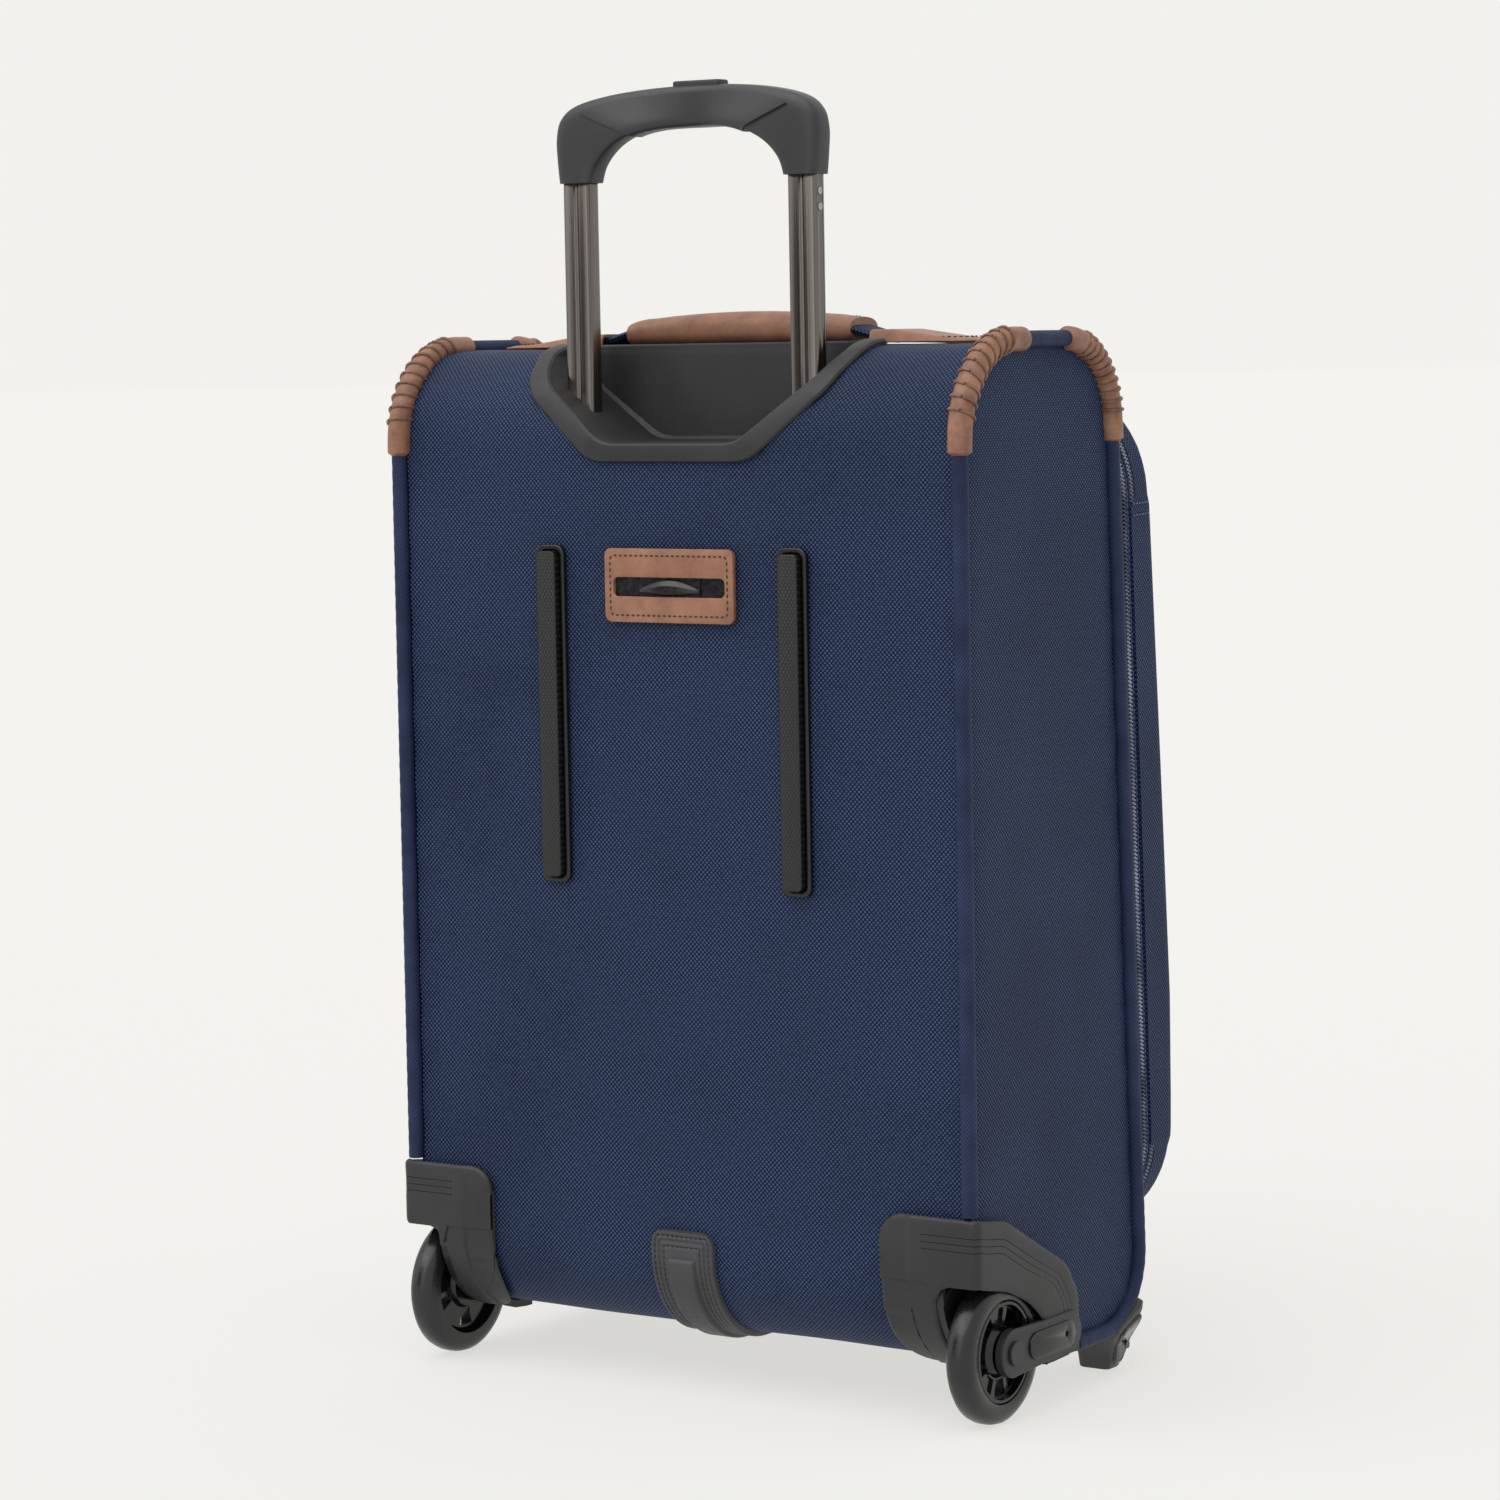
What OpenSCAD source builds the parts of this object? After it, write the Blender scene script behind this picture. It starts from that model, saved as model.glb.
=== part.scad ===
// Softside upright suitcase: two inline wheels, telescopic handle, zipped front lid.
// Frame: origin on the floor under the middle of the case, +Z up, the lid faces -Y,
// the handle and the wheels are on the +Y side. Left means -X, right means +X.

/* [Case] */
// Width over the side panels
body_w = 354; // [300:1:440]
// Height of the top of the case above the floor
body_top_z = 550; // [500:1:680]
// Height of the underside above the floor
body_base_z = 28; // [24:1:40]
// Distance of the rear face from the origin
back_y = 105; // [95:1:130]
// Front edge of the case at its lower end
front_low_y = -66; // [-90:1:-55]
// Backward lean of the front face, degrees
lean = 2.64; // [0:0.1:4]
// Radius of the rear top edge
rear_top_r = 50; // [40:1:60]
// Radius of the front top edge
front_top_r = 45; // [35:1:55]
// Radius of the front bottom edge
front_bottom_r = 38; // [30:1:45]
// Radius of the rear bottom edge
rear_bottom_r = 48; // [44:1:54]

/* [Walls] */
// Thickness of the outer cloth
cloth = 1.5; // [1:0.1:2]
// Thickness of the stiffening board
board = 3; // [2:0.5:4]
// Thickness of the lining cloth
lining_t = 0.6; // [0.4:0.1:1]
// Radius of the piping
piping_r = 4.3; // [3:0.1:5]

/* [Lid] */
// Half width of the zipped outline
lid_half_w = 168; // [140:1:210]
// Corner radius of the zipped outline
lid_corner_r = 60; // [40:1:75]
// Height of the lid outline along the front face
lid_h = 468; // [420:1:590]
// How far the main zip stands out from the case
main_zip_d = 22; // [20:1:28]
// Depth of the lid at its foot
lid_foot_d = 46; // [42:1:52]
// Depth of the lid at its fullest
lid_low_d = 51; // [46:1:58]
// Depth of the lid near its top
lid_high_d = 45; // [42:1:52]
// How far the pockets stand out from the lid
pocket_t = 3; // [2:0.5:4]

/* [Wheels] */
// Wheel radius
wheel_r = 37.5; // [34:0.5:40]
// Wheel width
wheel_w = 16; // [14:1:20]
// Distance between the wheels' middles
track = 342; // [290:1:420]
// Distance of the axle from the rear face, inwards
axle_in = 28; // [26:1:32]
// Axle radius
axle_r = 4; // [3:0.5:5]
// Clearance round the tyre
tyre_gap = 3; // [2.5:0.5:4]

/* [Telescopic handle] */
// Distance between the tubes' middles
tube_span = 141.6; // [130:0.2:150]
// Tube middle behind the origin
tube_y = 80; // [77:1:83]
// Width of the inner tubes
tube_w = 17; // [16:0.5:18]
// Depth of the inner tubes
tube_d = 10; // [9:0.5:11]
// Wall of every tube
tube_wall = 1.2; // [1:0.1:1.4]
// Running clearance between nested tubes, each side
tube_gap = 0.3; // [0.2:0.1:0.4]
// Length of the inner tubes below the grip
inner_len = 430; // [380:1:435]
// How far the grip stands above its stowed place
raised = 134; // [60:1:160]
// Overall width of the grip
grip_w = 168; // [166:1:176]

/* [Handle cup] */
// Half width of the handle cup
cup_half_w = 91; // [89:1:95]
// Depth of the cup forward of the rear face
cup_depth = 50; // [46:1:52]
// Height of the cup from its floor to the top of the case
cup_h = 49.5; // [46:0.5:52]
// Wall of the cup
cup_wall = 2.5; // [2:0.5:3]

/* [Carry handles] */
// Length of a handle's leather sleeve
sleeve_l = 142; // [120:1:160]
// Length of a handle between its tabs' outer ends
handle_l = 304; // [290:1:320]
// How far a handle lifts
handle_lift = 6; // [3:1:8]
// Height of the top handle's sleeve above the case
top_sleeve_h = 14.5; // [12:0.5:18]
// Height of the side handle's sleeve above the case
side_sleeve_h = 10; // [9:0.5:14]
// Middle of the top handle, front to back
top_handle_y = 27; // [24:1:30]

/* [Hidden] */
$fn = 48;
seam = 0.3;                            // clearance between neighbouring pieces
arc_steps = 8;                         // flats on a bent board's corner
half_w = body_w / 2;
wrap_half = half_w - 5.5;              // ends of the wrap, inside the piping
board_half = wrap_half - 0.5;
side_out = half_w - 1;                 // outer face of the side cloth
liner_i = cloth + board;
z_low = body_base_z + front_bottom_r;  // lower end of the straight front edge
function front_at(z) = front_low_y + (z - z_low) * tan(lean);

// The case's side profile, inset by i: arcs of the four edges about fixed centres.
rear_top = [back_y - rear_top_r, body_top_z - rear_top_r];
front_top = [front_at(body_top_z - front_top_r) + front_top_r / cos(lean),
    body_top_z - front_top_r];
front_low = [front_low_y + front_bottom_r / cos(lean), z_low];
rear_low = [back_y - rear_bottom_r, body_base_z + rear_bottom_r];
function arc(c, r, a0, a1, n = arc_steps) =
    [for (k = [0 : n]) let (a = a0 + (a1 - a0) * k / n) c + r * [cos(a), sin(a)]];
function profile(i) = concat(
    arc(rear_low, rear_bottom_r - i, -90, 0), arc(rear_top, rear_top_r - i, 0, 90),
    arc(front_top, front_top_r - i, 90, 180 - lean),
    arc(front_low, front_bottom_r - i, 180 - lean, 270));

module along_x(x0, x1) translate([x0, 0, 0]) rotate([90, 0, 90]) linear_extrude(x1 - x0)
    children();
module along_y(y0, y1) translate([0, y1, 0]) rotate([90, 0, 0]) linear_extrude(y1 - y0)
    children();
module box(a, b) translate(a) cube(b - a);
module both_sides() { children(); mirror([1, 0, 0]) children(); }
module on_side(s) { if (s > 0) children(); else mirror([1, 0, 0]) children(); }
module solid_profile(i, h) along_x(-h, h) polygon(profile(i));
module profile_band(i0, i1, h) along_x(-h, h) difference() {
    polygon(profile(i0));
    polygon(profile(i1));
}

// A rounded rectangle between heights z0 and z1, w to each side of the middle.
module round_rect(w, z0, z1, r) polygon(concat(
    arc([w - r, z0 + r], r, -90, 0), arc([w - r, z1 - r], r, 0, 90),
    arc([r - w, z1 - r], r, 90, 180), arc([r - w, z0 + r], r, 180, 270)));

// The front frame: its plane is the case's leaning front face, depth runs forward.
lid_z0 = -4;
lid_z1 = lid_z0 + lid_h;
module front_frame() translate([0, front_low_y, z_low]) rotate([-lean, 0, 0]) children();
module forward(d0, d1) along_y(-d1, -d0) children();
module lid_outline(i) round_rect(lid_half_w - i, lid_z0 + i, lid_z1 - i, lid_corner_r - i);
module lid_ring(i0, i1, d0, d1) forward(d0, d1) difference() {
    lid_outline(i0);
    lid_outline(i1);
}
band_t = 2;                            // thickness of the zip bands

// The wheel and what is cut from the case round it.
axle_y = back_y - axle_in;
wheel_x = track / 2;
well_r = wheel_r + tyre_gap;
well_wall = 2.5;
well_in = wheel_x - wheel_w / 2 - tyre_gap;       // inner face of the well
well_cut_x = well_in - well_wall - seam;
module at_axle(x0, x1, r) translate([x0, axle_y, wheel_r]) rotate([0, 90, 0])
    cylinder(r = r, h = x1 - x0);
module well_cut() both_sides() {
    at_axle(well_cut_x, half_w + 20, well_r + well_wall + seam);
    box([well_cut_x, axle_y, 0], [half_w + 20, back_y + 20, wheel_r + well_r + well_wall + seam]);
    box([well_cut_x, axle_y - well_r - well_wall - seam, 0], [half_w + 20, back_y + 20, wheel_r]);
}

// The handle cup's outlines, seen from behind.
cup_floor_z = body_top_z - cup_h;
cup_front_y = back_y - cup_depth;
rim_w = 11;
function cup_outline(e) = let (h = cup_half_w + e, zf = cup_floor_z - e * 0.9) [
    [-42 - e * 0.7, zf], [42 + e * 0.7, zf], [h - 8, zf + 32 + e * 0.4], [h, zf + 44],
    [h, body_top_z + 20], [-h, body_top_z + 20], [-h, zf + 44], [8 - h, zf + 32 + e * 0.4]];
module cup_cut() along_y(cup_front_y - cup_wall - seam, back_y + 10)
    polygon(cup_outline(cup_wall + seam));

// ---- the case's shell ----
module case_openings() {
    cup_cut();
    well_cut();
    front_frame() forward(-25, 60) lid_outline(band_t);
}
module wrap_fabric() color("#333f66") difference() {
    profile_band(0, cloth, wrap_half);
    case_openings();
}
module back_board() color("#5a5a58") difference() {
    intersection() {
        profile_band(cloth, liner_i, board_half);
        box([-half_w, back_y - 20, rear_low[1]], [half_w, back_y + 1, rear_top[1]]);
    }
    case_openings();
}
module top_frame() color("#5a5a58") difference() {
    intersection() {
        profile_band(cloth, liner_i, board_half);
        box([-half_w, front_low_y - 20, rear_top[1]], [half_w, back_y + 1, body_top_z + 1]);
    }
    case_openings();
}
module bottom_tray() color("#2f2f31") difference() {
    intersection() {
        profile_band(cloth, liner_i, board_half);
        union() {
            box([-half_w, front_low_y - 20, 0], [half_w, back_y + 1, rear_low[1]]);
            box([-half_w, front_low_y - 20, 0], [half_w, front_top[0], rear_top[1]]);
        }
    }
    case_openings();
}
module side_sheet(s, x0, x1, i) difference() {
    on_side(s) along_x(x0, x1) polygon(profile(i));
    well_cut();
}
module side_fabric_left() color("#333f66") side_sheet(-1, board_half + board, side_out, 3.5);
module side_fabric_right() color("#333f66") side_sheet(1, board_half + board, side_out, 3.5);
module side_boards() color("#5a5a58") for (s = [-1, 1])
    side_sheet(s, board_half, board_half + board, 3.5);

// ---- piping and leather corners: a section swept along the profile ----
piping_x = half_w - 1;
piping_out = 1;                        // piping's middle stands this far off the profile
housing_top_z = 110;
housing_front_y = 8;
// a ring of the section `sec` ([across, outwards] points) at profile point p, facing angle a
function ring_at(p, a, sec) =
    [for (q = sec) [piping_x + q[0], p[0] + q[1] * cos(a), p[1] + q[1] * sin(a)]];
function arc_rings(c, r, a0, a1, n, sec) =
    [for (k = [0 : n]) let (a = a0 + (a1 - a0) * k / n)
        ring_at(c + (r + piping_out) * [cos(a), sin(a)], a, sec)];
module swept(rings) {
    n = len(rings[0]);
    m = len(rings);
    polyhedron([for (r = rings) each r], concat(
        [[for (j = [0 : n - 1]) j]],
        [for (i = [0 : m - 2]) for (j = [0 : n - 1]) let (k = (j + 1) % n)
            [i * n + j, (i + 1) * n + j, (i + 1) * n + k, i * n + k]],
        [[for (j = [n - 1 : -1 : 0]) (m - 1) * n + j]]), convexity = 8);
}
function circle_section(r, n) = [for (k = [0 : n - 1]) r * [cos(360 * k / n), sin(360 * k / n)]];
module piping_loop() swept(concat(
    [ring_at([back_y + piping_out, housing_top_z + 2], 0, circle_section(piping_r, 10))],
    arc_rings(rear_top, rear_top_r, 0, 90, 8, circle_section(piping_r, 10)),
    arc_rings(front_top, front_top_r, 90, 180 - lean, 8, circle_section(piping_r, 10)),
    arc_rings(front_low, front_bottom_r, 180 - lean, 270, 8, circle_section(piping_r, 10)),
    [ring_at([housing_front_y - 6, body_base_z - piping_out], 270,
        circle_section(piping_r, 10))]));
module piping() color("#2c3556") both_sides() piping_loop();
guard_in = piping_r + 0.2;
guard_out = piping_r + 2;
function guard_section() = concat(
    [for (k = [0 : 10]) let (a = -76 + 26 * k) guard_out * [cos(a), sin(a)]],
    [for (k = [10 : -1 : 0]) let (a = -76 + 26 * k) guard_in * [cos(a), sin(a)]]);
module rear_guard() swept(concat(
    [ring_at([back_y + piping_out, rear_top[1] - 6], 0, guard_section())],
    arc_rings(rear_top, rear_top_r, 0, 90, 9, guard_section()),
    [ring_at([rear_top[0] - 12, body_top_z + piping_out], 90, guard_section())]));
module front_guard() swept(concat(
    [ring_at([front_top[0] + 0.5, body_top_z + piping_out], 90, guard_section())],
    arc_rings(front_top, front_top_r, 90, 180 - lean, 9, guard_section()),
    [ring_at([front_at(front_top[1] - 8) - piping_out, front_top[1] - 8], 180 - lean,
        guard_section())]));
module corner_guards() color("#6b4434") both_sides() {
    rear_guard();
    front_guard();
}

// ---- telescopic handle ----
tube_x = tube_span / 2;
middle_w = tube_w + 2 * (tube_gap + tube_wall);
middle_d = tube_d + 2 * (tube_gap + tube_wall);
outer_w = middle_w + 2 * (tube_gap + tube_wall);
outer_d = middle_d + 2 * (tube_gap + tube_wall);
tube_foot_z = 62;
outer_top_z = cup_floor_z - cup_wall;
grip_stow_z = cup_floor_z + 2;
grip_z = grip_stow_z + raised;         // bottom of the grip's legs
module tube_plan(w, d, r = 2) polygon(concat(
    arc([w / 2 - r, r - d / 2], r, -90, 0, 3), arc([w / 2 - r, d / 2 - r], r, 0, 90, 3),
    arc([r - w / 2, d / 2 - r], r, 90, 180, 3), arc([r - w / 2, r - d / 2], r, 180, 270, 3)));
module tube(w, d, z0, z1) both_sides() translate([tube_x, tube_y, z0]) linear_extrude(z1 - z0)
    difference() {
        tube_plan(w, d);
        tube_plan(w - 2 * tube_wall, d - 2 * tube_wall, 1.2);
    }
module handle_cup() color("#333436") difference() {
    union() {
        intersection() {
            box([-cup_half_w - cup_wall, cup_front_y - cup_wall, cup_floor_z - cup_wall],
                [cup_half_w + cup_wall, back_y + 5, body_top_z + 5]);
            solid_profile(liner_i + 0.1, half_w);
        }
        intersection() {
            along_y(cup_front_y - cup_wall, back_y + 10) polygon(cup_outline(cup_wall));
            solid_profile(-0.2, half_w);
        }
        difference() {
            intersection() {
                along_y(cup_front_y - 5, back_y + 10) polygon(cup_outline(rim_w));
                solid_profile(-2.7, half_w);
            }
            solid_profile(-0.2, half_w);
        }
    }
    intersection() {
        box([-cup_half_w, cup_front_y, cup_floor_z], [cup_half_w, back_y, body_top_z + 20]);
        solid_profile(liner_i + cup_wall, half_w);
    }
    // room for the stowed grip
    box([-grip_half - 1.2, cup_front_y, cup_floor_z], [grip_half + 1.2, tube_y + 8.5,
        body_top_z + 20]);
    along_y(cup_front_y, back_y + 10) polygon(cup_outline(0));
    both_sides() translate([tube_x, tube_y, cup_floor_z - 5]) linear_extrude(10)
        tube_plan(middle_w + 2 * seam, middle_d + 2 * seam);
}
module outer_tubes() color("#55524e") tube(outer_w, outer_d, tube_foot_z, outer_top_z - 0.2);
bracket_back_y = back_y - liner_i;
module tube_brackets() color("#2b2b2d") difference() {
    union() {
        box([-tube_x - 22, tube_y - 4, outer_top_z - 26], [tube_x + 22, bracket_back_y,
            outer_top_z - 8]);
        box([-tube_x - 22, tube_y - 4, tube_foot_z - 3], [tube_x + 22, bracket_back_y - 9,
            tube_foot_z + 20]);
        box([-tube_x - 22, bracket_back_y - 9, rear_low[1] + 2], [tube_x + 22, bracket_back_y,
            tube_foot_z + 30]);
    }
    both_sides() translate([tube_x, tube_y, tube_foot_z]) linear_extrude(outer_top_z)
        tube_plan(outer_w, outer_d);
}
middle_foot_z = tube_foot_z + 2;
module middle_tubes() color("#8b8782") tube(middle_w, middle_d, middle_foot_z, outer_top_z);
inner_foot_z = grip_z - inner_len;
rivet_r = 2;
module inner_tubes() color("#6f6a64") difference() {
    both_sides() translate([tube_x, tube_y, inner_foot_z]) linear_extrude(inner_len + 14)
        difference() {
            tube_plan(tube_w, tube_d);
            tube_plan(tube_w - 2 * tube_wall, tube_d - 2 * tube_wall - 1.6, 1.2);
            translate([0, tube_d / 2]) circle(r = 1.3, $fn = 16);
        }
    rivet_places() translate([0, 0, -1]) cylinder(r = rivet_r, h = 4, $fn = 24);
}
module rivet_places() for (z = [grip_z - 16.5, grip_z - 8.5]) both_sides()
    translate([tube_x + tube_w / 2 - tube_wall, tube_y, z]) rotate([0, 90, 0]) children();
plug_h = 16;
rod_r = 1.5;
module lock_plugs() color("#2b2b2d") both_sides() translate([tube_x, tube_y, inner_foot_z - 4])
    difference() {
        linear_extrude(4) tube_plan(tube_w, tube_d);
        translate([0, 0, -1]) cylinder(r = rod_r + 0.4, h = 6, $fn = 24);
    }
module tube_rivets() color("#b5b1aa") rivet_places()
    cylinder(r = rivet_r, h = tube_wall + tube_gap / 2, $fn = 24);

// ---- grip ----
grip_half = grip_w / 2;
leg_out = tube_x + tube_w / 2 + 2.2;
leg_in = tube_x - tube_w / 2 - 2.8;
grip_h = 48.5;
bar_z = grip_z + 27.5;                 // underside of the bar
grip_top = grip_z + grip_h;
button_half = 14.5;
button_y = tube_y - 10;
button_gap = 0.4;
button_travel = 4;
arch_half = 57;                        // half width of the hand opening
arch_z = grip_z + 10;                  // where the opening's curve starts
module grip_outline() polygon(concat(
    [[leg_in, grip_z], [leg_out, grip_z], [grip_half, grip_z + 24]],
    [for (a = [0 : 15 : 75]) [grip_half - 16 + 16 * cos(a), grip_z + 30 + 12 * sin(a)]],
    [[41, grip_top - 2.5], [14, grip_top], [-14, grip_top], [-41, grip_top - 2.5]],
    [for (a = [75 : -15 : 0]) [16 - grip_half - 16 * cos(a), grip_z + 30 + 12 * sin(a)]],
    [[-grip_half, grip_z + 24], [-leg_out, grip_z], [-leg_in, grip_z]],
    [for (a = [180 : -15 : 105]) [22 * cos(a) - arch_half + 22, arch_z + (bar_z - arch_z) * sin(a)]],
    [for (a = [75 : -15 : 0]) [22 * cos(a) + arch_half - 22, arch_z + (bar_z - arch_z) * sin(a)]]));
module grip_plan() polygon([
    [-90, tube_y + 7], [-58, tube_y + 7], [-40, tube_y + 1], [-20, tube_y - 1],
    [20, tube_y - 1], [40, tube_y + 1], [58, tube_y + 7], [90, tube_y + 7], [90, tube_y - 7],
    [60, tube_y - 12], [20, tube_y - 18.5], [-20, tube_y - 18.5], [-60, tube_y - 12],
    [-90, tube_y - 7]]);
link_z = grip_z + 33;
module grip() color("#3d4044") difference() {
    intersection() {
        along_y(tube_y - 30, tube_y + 20) grip_outline();
        translate([0, 0, grip_z - 5]) linear_extrude(grip_h + 10) grip_plan();
    }
    both_sides() translate([tube_x, tube_y, grip_z - 1]) linear_extrude(15.1)
        tube_plan(tube_w, tube_d);
    both_sides() translate([tube_x, tube_y, grip_z]) cylinder(r = 3, h = 31, $fn = 24);
    // channel for the link bar, and the button's well
    box([-tube_x - 4, tube_y - 8, link_z - button_travel - 1], [tube_x + 4, tube_y - 2.5,
        link_z + 6]);
    both_sides() box([tube_x - 4, tube_y - 8, link_z - button_travel - 1],
        [tube_x + 4, tube_y + 3, link_z + 6]);
    box([-button_half - button_gap, button_y - 5 - button_gap, link_z - button_travel - 1],
        [button_half + button_gap, button_y + 5 + button_gap, grip_top + 5]);
}
module release_button() color("#2a2c2f") union() {
    box([-button_half, button_y - 5, link_z + 6], [button_half, button_y + 5, grip_top + 2.5]);
    box([-10, button_y - 2, link_z + 4.5], [10, button_y + 2, link_z + 6]);
}
module release_rods() color("#8f8f8c") {
    union() {
        box([-tube_x - 2, tube_y - 7, link_z], [tube_x + 2, tube_y - 4, link_z + 4.5]);
        both_sides() box([tube_x - 2, tube_y - 7, link_z], [tube_x + 2, tube_y + 1.5,
            link_z + 4.5]);
        both_sides() translate([tube_x, tube_y, inner_foot_z - 2])
            cylinder(r = rod_r, h = link_z - inner_foot_z + 3, $fn = 24);
    }
}

// ---- rear face: rails, name patch, scuff guard ----
rail_x = 76;
rail_z0 = 268.7;
rail_z1 = 447.4;
rail_w = 18;
rail_base_t = 3;
module back_rails() color("#1b1b1d") both_sides() translate([rail_x, 0, 0]) difference() {
    along_y(back_y, back_y + rail_base_t) round_rect(rail_w / 2, rail_z0, rail_z1, 5);
    along_y(back_y + 1, back_y + 10) round_rect(rail_w / 2 - 2.8, rail_z0 + 2.8, rail_z1 - 2.8, 3);
}
module rail_inserts() color("#141415") both_sides() translate([rail_x, 0, 0])
    along_y(back_y + 1, back_y + 7) round_rect(rail_w / 2 - 3.1, rail_z0 + 3.2, rail_z1 - 3.2, 2.9);
patch_half = 40.5;
patch_z0 = 407.5;
patch_z1 = 446;
slot_z0 = 421;
slot_z1 = 431;
slot_half = 35;
tag_half = 18.5;
tag_travel = 15;
module id_patch() color("#96705c") difference() {
    along_y(back_y, back_y + 3) round_rect(patch_half, patch_z0, patch_z1, 4);
    along_y(back_y + 1.6, back_y + 4) round_rect(slot_half, slot_z0, slot_z1, 3);
    along_y(back_y + 0.4, back_y + 1.7) round_rect(slot_half, slot_z0 - 6, slot_z1 + 6, 3);
}
module id_tag() color("#202022") union() {
    along_y(back_y + 0.6, back_y + 1.4) round_rect(tag_half, slot_z0 - 5, slot_z1 + 5, 2);
    along_y(back_y + 1.4, back_y + 3.4) polygon(concat(
        [for (x = [-1 : 0.2 : 1]) [x * (tag_half - 1), slot_z0 + 2.2 - (1 - x * x) * 1.6]],
        [for (x = [1 : -0.2 : -1]) [x * (tag_half - 1), slot_z0 + 3.2 + (1 - x * x) * 5.6]]));
}
guard_half = 20;
guard_top_z = 88;
guard_end_y = 30;
module scuff_guard() color("#3c3c3f") {
    difference() {
        intersection() {
            profile_band(-3, 0, guard_half);
            box([-guard_half, guard_end_y, 0], [guard_half, back_y + 10, guard_top_z]);
        }
        along_y(back_y - 5, back_y + 10) difference() {
            translate([0, guard_top_z]) square([2 * guard_half + 2, 16], center = true);
            round_rect(guard_half, guard_top_z - 40, guard_top_z, 8);
        }
    }
    intersection() {
        profile_band(-5, -3, 8);
        box([-8, guard_end_y + 6, 0], [8, back_y + 10, guard_top_z - 12]);
    }
}

// ---- wheels and their housings ----
housing_in = 124;                      // inner end of the rear plate
side_face = half_w + 4;
arm_face = half_w + 7;
arm_in = wheel_x + wheel_w / 2 + 0.8;
arm_half = 11;
module housing_side() polygon([[back_y + 4, housing_top_z], [axle_y + 3.6, housing_top_z - 4.3],
    [20.4, 73.7], [9.5, 56], [housing_front_y, 50], [housing_front_y, body_base_z + 1],
    [14, 24], [30, 23.4], [axle_y, 24], [back_y + 4, 60]]);
module housing(s) on_side(s) difference() {
    union() {
        difference() {
            union() {
                along_x(side_out, side_face) housing_side();
                // well wall and its inner disc
                intersection() {
                    at_axle(well_cut_x + seam, side_face, well_r + well_wall);
                    box([well_cut_x, 0, body_base_z - 5], [side_face, back_y + 4, 200]);
                }
                // rear plate
                box([housing_in, back_y, 60], [side_face, back_y + 4, housing_top_z]);
                intersection() {
                    profile_band(-4, 0, side_face);
                    box([housing_in, axle_y - 25, 0], [side_face, back_y + 4, 61]);
                }
            }
            at_axle(well_in, arm_face + 5, well_r);
            box([well_in + 0.5, axle_y, 0], [arm_face + 5, back_y + 20,
                wheel_r + well_r - 1]);
            box([well_in, axle_y - well_r, -5], [arm_face + 5, back_y + 20, wheel_r - 9]);
            // keep the wrap clear
            solid_profile(0, well_cut_x);
        }
        // the arm that carries the outer end of the axle
        along_x(arm_in, arm_face) union() {
            polygon([[housing_front_y + 3, wheel_r - arm_half], [axle_y, wheel_r - arm_half],
                [axle_y, wheel_r + arm_half], [housing_front_y + 8, wheel_r + arm_half]]);
            translate([axle_y, wheel_r]) circle(r = arm_half + 1.5);
        }
    }
    at_axle(well_cut_x, arm_face + 5, axle_r);
}
module wheel_housing_left() color("#4a4a4d") housing(-1);
module wheel_housing_right() color("#4a4a4d") housing(1);
module arm_plates() color("#2a2a2c") both_sides() along_x(arm_face, arm_face + 1.2)
    difference() {
        hull() {
            translate([28, wheel_r + 0.5]) circle(r = 7.5);
            translate([axle_y - 22, wheel_r + 0.5]) circle(r = 7.5);
        }
        translate([27, wheel_r + 0.5]) circle(r = 1.6, $fn = 24);
    }
module wheel_axles() color("#b9b9bb") both_sides() {
    at_axle(well_cut_x + seam, arm_face + 0.6, axle_r);
    at_axle(arm_face + 0.6, arm_face + 2, 6.5);
}
hub_r = 27;
bearing_r = 8;
bearing_w = 3.8;
tread_t = wheel_r - hub_r;
module wheel_slice(r, x0, x1) at_axle(x0, x1, r);
wheel_x0 = wheel_x - wheel_w / 2;
wheel_x1 = wheel_x + wheel_w / 2;
module tyre() difference() {
    translate([wheel_x0, axle_y, wheel_r]) rotate([0, 90, 0]) rotate_extrude() polygon([
        [hub_r, 0], [wheel_r - 4, 0], [wheel_r - 1, 1.8], [wheel_r, 5], [wheel_r, wheel_w - 5],
        [wheel_r - 1, wheel_w - 1.8], [wheel_r - 4, wheel_w], [hub_r, wheel_w]]);
}
module hub() difference() {
    wheel_slice(hub_r, wheel_x0 + 1, wheel_x1 - 0.5);
    wheel_slice(hub_r - 3, wheel_x1 - 3.5, wheel_x1);
    wheel_slice(hub_r - 3, wheel_x0, wheel_x0 + 4);
    wheel_slice(bearing_r, wheel_x0, wheel_x0 + 4 + bearing_w);
    wheel_slice(bearing_r, wheel_x1 - 3.5 - bearing_w, wheel_x1);
    wheel_slice(axle_r + 1, wheel_x0, wheel_x1);
    for (k = [0 : 4]) translate([0, axle_y, wheel_r]) rotate([72 * k + 36, 0, 0])
        translate([wheel_x0, 0, 17]) rotate([0, 90, 0]) cylinder(r = 4.6, h = wheel_w, $fn = 24);
}
module wheel_bearings() for (x = [wheel_x0 + 4, wheel_x1 - 3.5 - bearing_w])
    difference() {
        wheel_slice(bearing_r, x, x + bearing_w);
        wheel_slice(axle_r + 0.05, x - 1, x + bearing_w + 1);
    }
module tyre_left() color("#38383b") on_side(-1) tyre();
module tyre_right() color("#38383b") on_side(1) tyre();
module hub_left() color("#18181a") on_side(-1) hub();
module hub_right() color("#18181a") on_side(1) hub();
module wheel_bearings_left() color("#c9c9cc") on_side(-1) wheel_bearings();
module wheel_bearings_right() color("#c9c9cc") on_side(1) wheel_bearings();

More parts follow.
